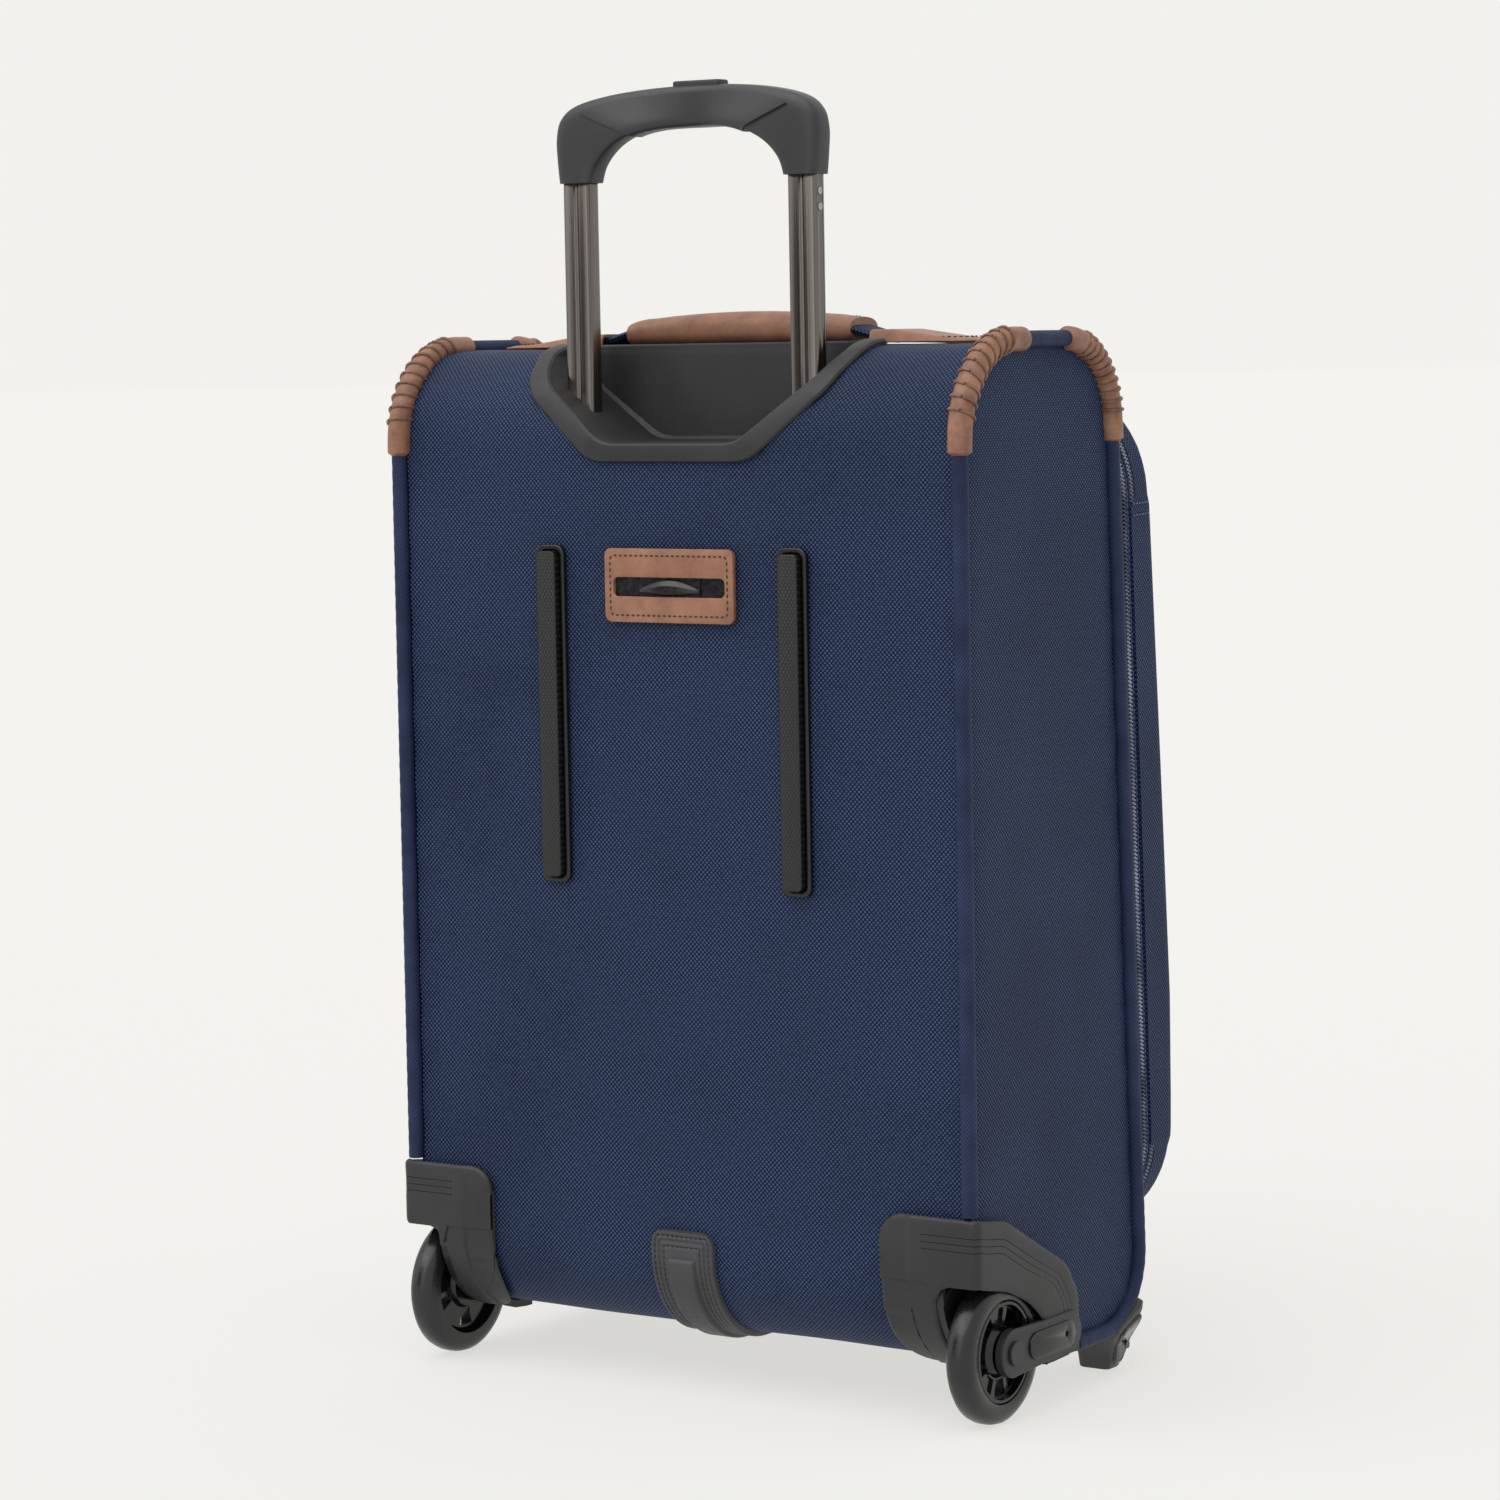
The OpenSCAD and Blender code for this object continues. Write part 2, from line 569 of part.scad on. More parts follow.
// ---- front feet ----
foot_in = 148;
foot_out = 163;
foot_y0 = -79;
foot_y1 = -50;
module front_feet() color("#4a4a4d") both_sides() difference() {
    intersection() {
        along_x(foot_in, foot_out) polygon([[foot_y0 + 4, 0], [foot_y1 - 6, 0], [foot_y1, 6],
            [foot_y1 + 14, 40], [foot_y0 + 10, 46], [foot_y0 + 6, 40]]);
        along_y(-100, 0) polygon([[foot_in + 1, 0], [foot_out - 1, 0], [foot_out, 46],
            [foot_in - 4, 46]]);
    }
    solid_profile(0, wrap_half);
}
foot_plate_t = 1.2;
foot_screw = [-63.5, 20];              // across and up, on the outer face
screw_r = 2.2;
module foot_plates() color("#222224") both_sides() along_x(foot_out, foot_out + foot_plate_t)
    difference() {
        polygon([[-70, 6], [-60, 6], [-55, 30], [-72, 30]]);
        translate(foot_screw) circle(r = screw_r + 0.1, $fn = 24);
    }
module foot_screws() color("#2a2a2c") both_sides() along_x(foot_out, foot_out + foot_plate_t / 2)
    translate(foot_screw) circle(r = screw_r, $fn = 24);

// ---- carry handles: drawn lying along X on z = 0, facing up ----
tab_in = 86;
tab_out = handle_l / 2;
strap_w = 26;
strap_t = 2;
hood_h = strap_t + handle_lift + 1.2;
module tab_pair() both_sides() difference() {
    along_y(-strap_w / 2 - 5, strap_w / 2 + 5) polygon([[tab_in, 0.1], [tab_out, 0.1],
        [tab_out, 2], [tab_in + 34, hood_h], [tab_in + 24, hood_h + 0.8],
        [tab_in, hood_h + 0.8]]);
    box([tab_in - 1, -strap_w / 2 - 1, 0.5], [tab_in + 22, strap_w / 2 + 1, hood_h]);
}
sleeve_lift = 5.4;                     // gap under the middle of the sleeve
strap_z = 0.8;                         // underside of the strap
module carry_handle(h) {
    along_y(-11, 11) polygon(concat([[-sleeve_l / 2, 1.2], [-40, 2.2], [-33, sleeve_lift],
        [33, sleeve_lift], [40, 2.2], [sleeve_l / 2, 1.2], [sleeve_l / 2, 6.5]],
        [for (x = [60 : -12 : -60]) [x, h - (h - 8.3) * pow(x / 71, 2)]],
        [[-sleeve_l / 2, 6.5]]));
    both_sides() box([sleeve_l / 2, -strap_w / 2, strap_z], [tab_in + 18, strap_w / 2,
        strap_z + strap_t]);
}
module at_top() translate([0, top_handle_y, body_top_z]) children();
side_handle_z = 310;
side_handle_y = 20;
module at_side() translate([side_out, side_handle_y, side_handle_z]) rotate([0, 90, 0])
    children();
module handle_tabs() color("#96705c") {
    at_top() tab_pair();
    at_side() tab_pair();
}
module top_handle() color("#96705c") at_top() carry_handle(top_sleeve_h);
module side_handle() color("#96705c") at_side() carry_handle(side_sleeve_h);

// ---- zips and the expansion gusset ----
exp_d0 = 9;
exp_d1 = 19;
module expansion_gusset() color("#333f66") difference() {
    front_frame() lid_ring(0, band_t, -25, exp_d0);
    solid_profile(0, half_w);
}
module expansion_zip() color("#26304f") front_frame() lid_ring(-0.6, band_t, exp_d0, exp_d1);
module main_zip_case_side() color("#26304f") front_frame()
    lid_ring(-0.4, band_t, exp_d1, main_zip_d);
module main_zip_lid_side() color("#26304f") front_frame()
    lid_ring(-0.4, band_t, main_zip_d + seam, main_zip_d + 4);
slider_l = 12;
pull_l = 26;
pull_w = 5;
pull_t = 1.4;
eye_r = 0.8;                           // pin of a slider's bail
exp_zip_z = 300;
exp_bail_x = lid_half_w + 6.5;
module expansion_slider() color("#8f8b86") front_frame() {
    box([lid_half_w + 1, -18, exp_zip_z], [lid_half_w + 4, -10, exp_zip_z + slider_l]);
    for (y = [-18, -11]) box([lid_half_w + 4, y, exp_zip_z + 4], [lid_half_w + 7.8, y + 1,
        exp_zip_z + 9]);
    translate([exp_bail_x, -10, exp_zip_z + 6]) rotate([90, 0, 0])
        cylinder(r = eye_r, h = 8, $fn = 24);
}
module expansion_pull() color("#8f8b86") front_frame() difference() {
    union() {
        box([exp_bail_x - pull_t / 2, -16.5, exp_zip_z + 6 - pull_l], [exp_bail_x + pull_t / 2,
            -11.5, exp_zip_z + 6]);
        translate([exp_bail_x, -11.5, exp_zip_z + 6]) rotate([90, 0, 0])
            cylinder(r = eye_r + 1, h = pull_w, $fn = 24);
    }
    translate([exp_bail_x, -5, exp_zip_z + 6]) rotate([90, 0, 0])
        cylinder(r = eye_r + 0.1, h = 18, $fn = 24);
}

// ---- lid ----
lid_back_d = main_zip_d + 4;
function ellipse_arc(c, rx, rz, a0, a1) =
    [for (k = [0 : arc_steps]) let (a = a0 + (a1 - a0) * k / arc_steps)
        c + [rx * cos(a), rz * sin(a)]];
// the lid's side profile as [depth, height], inset by i, its back at depth d0
function lid_side(i, d0) = concat([[d0, lid_z0 + i]],
    ellipse_arc([lid_back_d, lid_z0 + 32], lid_foot_d - lid_back_d - i, 32 - i, -90, 0),
    [[(lid_foot_d + lid_low_d) / 2 + 0.8 - i, lid_z0 + 79], [lid_low_d - i, lid_z0 + 134]],
    ellipse_arc([lid_back_d, lid_z1 - 36], lid_high_d - lid_back_d - i, 36 - i, 0, 90),
    [[d0, lid_z1 - i]]);
module lid_profile(i, w, d0 = lid_back_d) mirror([0, 1, 0]) along_x(-w, w)
    polygon(lid_side(i, d0));
module lid_solid(i, d0 = lid_back_d) intersection() {
    forward(d0, lid_low_d + 20) lid_outline(i);
    lid_profile(i, half_w, d0);
}
module lid_fabric() color("#333f66") front_frame() difference() {
    lid_solid(0);
    lid_solid(cloth, lid_back_d - 1);
}
module lid_board() color("#5a5a58") front_frame() difference() {
    lid_solid(cloth);
    lid_solid(liner_i, lid_back_d - 1);
}
pocket_half = 152;
pocket_z0 = 49;
pocket_z1 = 399;
module lid_slab(e0, e1) difference() {
    lid_profile(-e1, half_w);
    lid_profile(-e0, half_w + 1, lid_back_d - 1);
}
module lower_pocket() color("#333f66") front_frame() intersection() {
    lid_slab(0, pocket_t);
    forward(20, 90) round_rect(pocket_half, pocket_z0, pocket_z1, 22);
}
module upper_pocket() color("#333f66") front_frame() intersection() {
    lid_slab(0, 1.6);
    forward(20, 90) round_rect(pocket_half - 26, pocket_z1 + 3, lid_z1 - 22, 14);
}
module pocket_zips() color("#26304f") front_frame() {
    intersection() {
        lid_slab(pocket_t, pocket_t + 1);
        forward(20, 90) round_rect(pocket_half - 20, pocket_z1 - 22, pocket_z1 - 14, 3.9);
    }
    intersection() {
        lid_slab(1.6, 2.6);
        forward(20, 90) round_rect(pocket_half - 50, lid_z1 - 42, lid_z1 - 34, 3.9);
    }
}
mesh_d = lid_high_d - liner_i - 9;
module lid_mesh_pocket() color("#3a3d46") front_frame() intersection() {
    lid_solid(liner_i + 0.1);
    box([-half_w, -mesh_d - 0.6, lid_z0], [half_w, -mesh_d, lid_z1 - 60]);
}
slider_x = 12;                         // each main slider's middle, from the case's middle
bail_d = main_zip_d + 6;
bail_z = lid_z1 + 5;
pull_slope = 45;                       // the pulls lie down the lid's rounded top edge
module at_bail(x) translate([x, -bail_d, bail_z]) children();
module zip_slider(x) front_frame() {
    box([x - slider_l / 2, -main_zip_d - 4, lid_z1 + 0.8], [x + slider_l / 2, -main_zip_d + 4,
        lid_z1 + 4]);
    for (a = [x - 4.5, x + 3.5]) box([a, -bail_d - 1.5, lid_z1 + 2.5], [a + 1, -main_zip_d - 2,
        bail_z + 1.5]);
    at_bail(x - 4) rotate([0, 90, 0]) cylinder(r = eye_r, h = 8, $fn = 24);
}
module zip_pull(x) front_frame() at_bail(x) rotate([-pull_slope, 0, 0]) difference() {
    union() {
        box([-pull_w / 2, -pull_l, -pull_t / 2], [pull_w / 2, 0, pull_t / 2]);
        translate([-pull_w / 2, 0, 0]) rotate([0, 90, 0])
            cylinder(r = eye_r + 1, h = pull_w, $fn = 24);
    }
    translate([-pull_w, 0, 0]) rotate([0, 90, 0])
        cylinder(r = eye_r + 0.1, h = 2 * pull_w, $fn = 24);
}
module zip_slider_left() color("#8f8b86") zip_slider(-slider_x);
module zip_slider_right() color("#8f8b86") zip_slider(slider_x);
module zip_pull_left() color("#8f8b86") zip_pull(-slider_x);
module zip_pull_right() color("#8f8b86") zip_pull(slider_x);
pocket_slider_x = pocket_half - 36;
module pocket_slider() color("#8f8b86") front_frame() {
    d = lid_high_d + pocket_t + 2.5;
    box([pocket_slider_x - 5, -d - 3, pocket_z1 - 22], [pocket_slider_x + 5, -d,
        pocket_z1 - 14]);
    box([pocket_slider_x - 2.5, -d - 4.4, pocket_z1 - 42], [pocket_slider_x + 2.5, -d - 3,
        pocket_z1 - 15]);
}

// ---- inside of the case ----
lining_y = tube_y - outer_d / 2 - 2.4;
module lining_back() color("#6d6f75") difference() {
    intersection() {
        box([-half_w, lining_y, 0], [half_w, lining_y + 2, outer_top_z - 1]);
        solid_profile(liner_i + 0.1, board_half - 1);
    }
    well_cut();
}
module tie_straps() color("#1f1f22") for (a = [-1, 1]) on_side(a)
    box([30, lining_y - 1.4, 180], [55, lining_y, 400]);
module tie_buckle() color("#111113") box([24, lining_y - 6, 300], [61, lining_y - 1.4, 330]);

wrap_fabric();
side_fabric_left();
side_fabric_right();
back_board();
top_frame();
bottom_tray();
side_boards();
piping();
corner_guards();
handle_cup();
outer_tubes();
tube_brackets();
lining_back();
tie_straps();
tie_buckle();
back_rails();
rail_inserts();
id_patch();
id_tag();
scuff_guard();
wheel_housing_left();
wheel_housing_right();
arm_plates();
wheel_axles();
front_feet();
foot_plates();
handle_tabs();
expansion_gusset();
expansion_zip();
main_zip_case_side();
expansion_slider();
expansion_pull();
tyre_left();
tyre_right();
hub_left();
hub_right();
wheel_bearings_left();
wheel_bearings_right();
middle_tubes();
inner_tubes();
grip();
tube_rivets();
lock_plugs();
release_button();
release_rods();
lid_board();
lid_fabric();
main_zip_lid_side();
lower_pocket();
upper_pocket();
pocket_zips();
lid_mesh_pocket();
zip_slider_left();
zip_slider_right();
zip_pull_left();
zip_pull_right();
pocket_slider();
top_handle();
side_handle();
foot_screws();
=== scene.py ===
import bisect
import math
import bpy
from mathutils import Matrix, Vector


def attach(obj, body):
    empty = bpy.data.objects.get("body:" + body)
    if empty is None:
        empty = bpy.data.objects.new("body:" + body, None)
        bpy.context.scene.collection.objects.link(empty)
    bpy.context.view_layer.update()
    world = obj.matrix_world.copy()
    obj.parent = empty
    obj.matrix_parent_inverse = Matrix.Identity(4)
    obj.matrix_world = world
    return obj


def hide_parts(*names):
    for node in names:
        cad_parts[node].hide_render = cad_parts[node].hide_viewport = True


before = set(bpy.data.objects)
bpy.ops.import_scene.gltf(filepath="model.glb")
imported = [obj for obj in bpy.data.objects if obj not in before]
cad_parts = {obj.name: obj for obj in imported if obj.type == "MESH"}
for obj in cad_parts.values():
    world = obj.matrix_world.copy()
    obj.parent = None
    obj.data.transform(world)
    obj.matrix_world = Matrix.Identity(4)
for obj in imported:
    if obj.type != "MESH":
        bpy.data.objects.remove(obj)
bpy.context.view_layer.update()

# ---- Studio ----
# A pale floor that runs out to the horizon under an even pale sky, two broad lights,
# and a long lens behind and to the left of the case.


def hex_colour(text, alpha=1.0):
    channels = [int(text[k:k + 2], 16) / 255 for k in (1, 3, 5)]
    linear = [c / 12.92 if c <= 0.04045 else ((c + 0.055) / 1.055) ** 2.4 for c in channels]
    return (*linear, alpha)


def new_material(name, colour, roughness, metallic=0.0, **sockets):
    """A material with its shader's constant sockets set. Patterns are linked afterwards."""
    material = bpy.data.materials.new(name)
    material.use_nodes = True
    tree = material.node_tree
    shader = tree.nodes["Principled BSDF"]
    shader.inputs["Base Color"].default_value = hex_colour(colour)
    shader.inputs["Roughness"].default_value = roughness
    shader.inputs["Metallic"].default_value = metallic
    for key, value in sockets.items():
        shader.inputs[key.replace("_", " ")].default_value = value
    return material, tree, shader


def drop_selection():
    if bpy.context.mode != "OBJECT":
        bpy.ops.object.mode_set(mode="OBJECT")
    bpy.ops.object.select_all(action="DESELECT")


drop_selection()
# matt paper lit from within like a light table, so the floor is as even as the sky
paper = new_material("studio_paper", "#767676", 1.0, Specular_IOR_Level=0.0,
                     Emission_Strength=1.0, Emission_Color=hex_colour("#d3d2ce"))[0]
bpy.ops.mesh.primitive_circle_add(vertices=96, radius=60, fill_type="NGON", location=(0, 0, 0))
studio_floor = bpy.context.object
studio_floor.name = "studio_floor"
studio_floor.data.materials.append(paper)

# a black card out of view gives the metal and plastic something dark to mirror
drop_selection()
card_face = new_material("black_card", "#0c0c0c", 1.0, Specular_IOR_Level=0.0)[0]
bpy.ops.mesh.primitive_plane_add(size=1, location=(2.3, 3.3, 0.9),
                                 rotation=(math.radians(90), 0, math.radians(-35)))
black_card = bpy.context.object
black_card.name = "black_card"
black_card.scale = (1.5, 2.4, 1)
black_card.data.materials.append(card_face)

world = bpy.data.worlds.new("pale_room")
bpy.context.scene.world = world
world.use_nodes = True
sky = world.node_tree.nodes["Background"]
sky.inputs["Color"].default_value = hex_colour("#f2f1ed")
sky.inputs["Strength"].default_value = 1.0
bpy.context.scene.view_settings.view_transform = "Standard"


def add_sun(name, towards, strength, spread):
    light = bpy.data.lights.new(name, "SUN")
    light.energy = strength
    light.angle = math.radians(spread)
    lamp = bpy.data.objects.new(name, light)
    lamp.rotation_euler = Vector(towards).to_track_quat("-Z", "Y").to_euler()
    bpy.context.scene.collection.objects.link(lamp)


add_sun("overhead_softbox", (-0.15, -0.45, -1.0), 1.5, 70)
add_sun("side_softbox", (-0.6, -1.0, -0.5), 0.6, 60)

view_turn, view_dip, view_roll = math.radians(33.9), math.radians(5.21), math.radians(-1.01)
view_from = (-1.3332, 2.0188, 0.5533)
camera_data = bpy.data.cameras.new("camera")
camera_data.lens = 108.14
camera_data.sensor_width = 36
camera = bpy.data.objects.new("camera", camera_data)
forward = Vector((math.sin(view_turn) * math.cos(view_dip),
                  -math.cos(view_turn) * math.cos(view_dip), -math.sin(view_dip)))
level_right = forward.cross(Vector((0, 0, 1))).normalized()
level_up = level_right.cross(forward)
right = level_right * math.cos(view_roll) + level_up * math.sin(view_roll)
up = level_up * math.cos(view_roll) - level_right * math.sin(view_roll)
camera.matrix_world = Matrix([(right[k], up[k], -forward[k], view_from[k]) for k in range(3)]
                             + [(0, 0, 0, 1)])
bpy.context.scene.collection.objects.link(camera)
bpy.context.scene.camera = camera

# ---- Outer cloth ----
# One band of woven nylon runs round the bottom, back, top and front of the case, glued to
# the boards. Openings are cut in it for the handle cup, the wheels and the zipped lid.


def arc_points(centre, radius, start, end, steps=14):
    turn = [math.radians(start + (end - start) * k / steps) for k in range(steps + 1)]
    return [(centre[0] + radius * math.cos(a), centre[1] + radius * math.sin(a)) for a in turn]


# the front leans back, so its two rounded corners sit where it touches them
lean = math.radians(2.64)
front_turn = 180 - math.degrees(lean)
front_high_y = -66 + (505 - 66) * math.tan(lean) + 45 / math.cos(lean)
front_low_y = -66 + 38 / math.cos(lean)
case_corners = {"rear foot": ((57, 76), 48, -90, 0), "rear top": ((55, 500), 50, 0, 90),
                "front top": ((front_high_y, 505), 45, 90, front_turn),
                "front foot": ((front_low_y, 66), 38, front_turn, 270)}


def case_corner(corner, inset):
    """A rounded corner of the case seen from the side, as (y, z) in mm."""
    centre, radius, start, end = case_corners[corner]
    return arc_points(centre, radius - inset, start, end)


def case_profile(inset):
    """The case's outline seen from the side, as (y, z) in mm, from the rear foot round."""
    return [point for corner in case_corners for point in case_corner(corner, inset)]


class Run:
    """A line through points, walked by its length: at(share) gives the point there."""

    def __init__(self, points, closed=False):
        self.points = [Vector(p) for p in points] + ([Vector(points[0])] if closed else [])
        self.marks = [0.0]
        for a, b in zip(self.points, self.points[1:]):
            self.marks.append(self.marks[-1] + (b - a).length)
        self.length = self.marks[-1]

    def at(self, share):
        goal = min(max(share, 0), 1) * self.length
        k = min(max(bisect.bisect_right(self.marks, goal) - 1, 0), len(self.points) - 2)
        step = self.marks[k + 1] - self.marks[k]
        return self.points[k].lerp(self.points[k + 1], (goal - self.marks[k]) / (step or 1))

    def heading(self, share):
        return (self.at(share + 1e-3) - self.at(share - 1e-3)).normalized()


def placed_grid(name, across, along, place, size=(1, 1)):
    """A grid whose corners go where place(u, v) says, in mm. Its UV map is in metres."""
    drop_selection()
    bpy.ops.mesh.primitive_grid_add(x_subdivisions=across, y_subdivisions=along, size=1)
    piece = bpy.context.object
    piece.name = name
    for corner in piece.data.vertices:
        corner.co = Vector(place(corner.co.x + 0.5, corner.co.y + 0.5)) * 0.001
    for corner in piece.data.uv_layers.active.data:
        corner.uv = (corner.uv[0] * size[0] * 0.001, corner.uv[1] * size[1] * 0.001)
    return piece


def pick(piece):
    """Makes a piece the active one and the only one selected."""
    drop_selection()
    piece.select_set(True)
    bpy.context.view_layer.objects.active = piece


def edit_all(piece):
    pick(piece)
    bpy.ops.object.mode_set(mode="EDIT")
    bpy.ops.mesh.select_all(action="SELECT")


def weld(piece, fill=False):
    """Merges doubled corners, closes holes if asked, and turns the faces outwards."""
    edit_all(piece)
    bpy.ops.mesh.remove_doubles(threshold=0.00002)
    if fill:
        bpy.ops.mesh.fill_holes(sides=0)
    bpy.ops.mesh.normals_make_consistent(inside=False)
    bpy.ops.object.mode_set(mode="OBJECT")
    return piece


def modify(piece, kind, **settings):
    pick(piece)
    modifier = piece.modifiers.new(kind.lower(), kind)
    for key, value in settings.items():
        setattr(modifier, key, value)
    bpy.ops.object.modifier_apply(modifier=modifier.name)
    return piece


def thicken(piece, thickness, face, away):
    """Gives a sheet a wall, in mm, laid inwards; away points outwards at the face."""
    inwards = -1 if face.normal.dot(Vector(away)) > 0 else 1
    return modify(piece, "SOLIDIFY", thickness=thickness * 0.001, offset=inwards)


def round_edges(piece, radius, segments=2, angle=50, clamp=True):
    """Rounds the edges sharper than an angle, with a radius in mm."""
    return modify(piece, "BEVEL", width=radius * 0.001, segments=segments,
                  limit_method="ANGLE", angle_limit=math.radians(angle),
                  use_clamp_overlap=clamp)


def outline_block(name, points, depth):
    """A flat outline, points in mm, extruded by the vector depth into a closed block."""
    drop_selection()
    bpy.ops.mesh.primitive_circle_add(vertices=len(points), radius=1, fill_type="NGON")
    piece = bpy.context.object
    piece.name = name
    for corner, point in zip(piece.data.vertices, points):
        corner.co = Vector(point) * 0.001
    edit_all(piece)
    bpy.ops.mesh.extrude_region_move(
        TRANSFORM_OT_translate={"value": tuple(Vector(depth) * 0.001)})
    return weld(piece)


def side_block(name, x, outline, depth):
    """A block with its outline given as (y, z) at x, and its depth along x."""
    return outline_block(name, [(x, y, z) for y, z in outline], (depth, 0, 0))


def back_block(name, y, outline, depth):
    """A block with its outline given as (x, z) at y, and its depth along y."""
    return outline_block(name, [(x, y, z) for x, z in outline], (0, depth, 0))


def cut_away(piece, cutter, operation="DIFFERENCE"):
    """Cuts a piece with a block, which is used up: takes it away, or keeps what it covers."""
    modify(piece, "BOOLEAN", operation=operation, solver="EXACT", object=cutter)
    bpy.data.objects.remove(cutter)
    return piece


def smooth(piece, angle=40):
    pick(piece)
    bpy.ops.object.shade_smooth_by_angle(angle=math.radians(angle))
    return piece


def fit(piece, body, finish, nodes=(), angle=40):
    """Gives a finished piece its material, its body and the CAD nodes it stands for."""
    piece.data.materials.clear()
    piece.data.materials.append(finish)
    smooth(piece, angle)
    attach(piece, body)
    for node in nodes:
        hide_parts(node)
    return piece


def in_front(x, up, depth):
    """A point on the leaning front frame: up along the front, depth forward of it, in mm."""
    return (x, -66 - depth * math.cos(lean) + up * math.sin(lean),
            66 + depth * math.sin(lean) + up * math.cos(lean))


def rounded_outline(half, low, high, radius, steps=10):
    return (arc_points((half - radius, low + radius), radius, -90, 0, steps)
            + arc_points((half - radius, high - radius), radius, 0, 90, steps)
            + arc_points((radius - half, high - radius), radius, 90, 180, steps)
            + arc_points((radius - half, low + radius), radius, 180, 270, steps))


def rumple(a, b, size):
    """A slow, uneven swell of about 1 at most, as in cloth over padding."""
    return (math.sin(a / size + 1.3 * math.sin(b / (1.7 * size)))
            * math.cos(b / (1.2 * size) + 0.8 * math.sin(a / (0.8 * size))))


def add_node(tree, kind, links=None, **settings):
    """Adds one shader node. links maps its input sockets to values or to (node, socket)."""
    node = tree.nodes.new(kind)
    for key, value in settings.items():
        setattr(node, key, value)
    for key, value in (links or {}).items():
        if isinstance(value, tuple) and hasattr(value[0], "outputs"):
            tree.links.new(value[0].outputs[value[1]], node.inputs[key])
        else:
            node.inputs[key].default_value = value
    return node


# ballistic nylon: a coarse basket weave whose lit yarns show as pale dashes on navy, the
# yarn spacing drawn at 1.8 mm where the real one is 1.65
def woven_nylon(name, ground, lit, spacing=1.8):
    material, tree, shader = new_material(name, ground, 0.6, Specular_IOR_Level=0.14)
    place = add_node(tree, "ShaderNodeTexCoord")
    turned = add_node(tree, "ShaderNodeMapping", {"Vector": (place, "UV"),
                      "Rotation": (0, 0, math.radians(45))})
    rows = []
    for direction in ("X", "Y"):
        rows.append(add_node(tree, "ShaderNodeTexWave", {
            "Vector": (turned, 0), "Scale": 0.314 / (spacing * 0.001), "Distortion": 0.4,
            "Detail": 1.0, "Detail Scale": 2.0}, wave_type="BANDS", bands_direction=direction))
    crossing = add_node(tree, "ShaderNodeMath", {0: (rows[0], "Fac"), 1: (rows[1], "Fac")},
                        operation="MULTIPLY")
    yarn = add_node(tree, "ShaderNodeTexNoise", {"Vector": (place, "UV"), "Scale": 420.0,
                    "Detail": 2.0, "Roughness": 0.6})
    uneven = add_node(tree, "ShaderNodeMapRange", {"Value": (yarn, "Fac"), "From Min": 0.35,
                      "From Max": 0.65, "To Min": 1.1, "To Max": 2.0})
    lit_part = add_node(tree, "ShaderNodeMath", {0: (crossing, 0), 1: (uneven, 0)},
                        operation="MULTIPLY", use_clamp=True)
    broad = add_node(tree, "ShaderNodeTexNoise", {"Vector": (place, "Object"), "Scale": 14.0,
                     "Detail": 3.0})
    wear = add_node(tree, "ShaderNodeMapRange", {"Value": (broad, "Fac"), "From Min": 0.3,
                    "From Max": 0.7, "To Min": 0.8, "To Max": 1.1})
    amount = add_node(tree, "ShaderNodeMath", {0: (lit_part, 0), 1: (wear, 0)},
                      operation="MULTIPLY", use_clamp=True)
    shade = add_node(tree, "ShaderNodeMix", {0: (amount, 0), 6: hex_colour(ground),
                     7: hex_colour(lit)}, data_type="RGBA")
    tree.links.new(shade.outputs[2], shader.inputs["Base Color"])
    relief = add_node(tree, "ShaderNodeBump", {"Height": (crossing, 0), "Strength": 0.5,
                      "Distance": 0.0004})
    tree.links.new(relief.outputs[0], shader.inputs["Normal"])
    return material


navy_nylon = woven_nylon("navy_ballistic_nylon", "#040b1c", "#3e5078")

wrap_half, cloth = 171.5, 1.5
axle_y, axle_z = 77, 37.5
wrap_run = Run([(0, *p) for p in [(20, 28)] + case_profile(0)], closed=True)


def on_wrap(u, v):
    x = (u - 0.5) * 2 * wrap_half
    point, ahead = wrap_run.at(v), wrap_run.heading(v)
    outwards = Vector((0, ahead.z, -ahead.y))
    edge = (wrap_half - abs(x)) / 14
    pucker = 0.35 * math.sin(v * wrap_run.length / 5.5) * math.exp(-edge * edge)
    swell = 0.5 * rumple(x, v * wrap_run.length, 34) * min(1, edge / 2)
    return Vector((x, point.y, point.z)) + outwards * (pucker + swell - 0.4)


def wheel_well(radius, top):
    """The outline of a wheel's well seen from the side, as (y, z) in mm."""
    return ([(axle_y - radius, -10), (axle_y - radius, axle_z)]
            + arc_points((axle_y, axle_z), radius, 180, 90, 8) + [(140, top), (140, -10)])


wrap_piece = placed_grid("outer_cloth", 62, 330, on_wrap, (2 * wrap_half, wrap_run.length))
weld(wrap_piece)
modify(wrap_piece, "SOLIDIFY", thickness=cloth * 0.001, offset=-1)
cup_edge = [(-47, 495.5), (47, 495.5), (89, 526), (97, 541), (97, 580), (-97, 580), (-97, 541),
            (-89, 526)]
cut_away(wrap_piece, back_block("cup_cutter", 49, cup_edge, 90))
for side in (-1, 1):
    cut_away(wrap_piece, side_block("well_cutter", side * 156.8, wheel_well(43, 80.8),
                                    side * 60))
lid_edge = rounded_outline(166, -2, 462, 58)
cut_away(wrap_piece, outline_block("lid_cutter", [in_front(x, up, -25) for x, up in lid_edge],
                                   Vector(in_front(0, 0, 60)) - Vector(in_front(0, 0, -25))))
fit(wrap_piece, "case", navy_nylon, ["wrap_fabric"])

# ---- Side panels ----
# A panel of the same nylon over a board closes each side, drawn a little inwards between
# the seams, with the piping sewn into its edge.


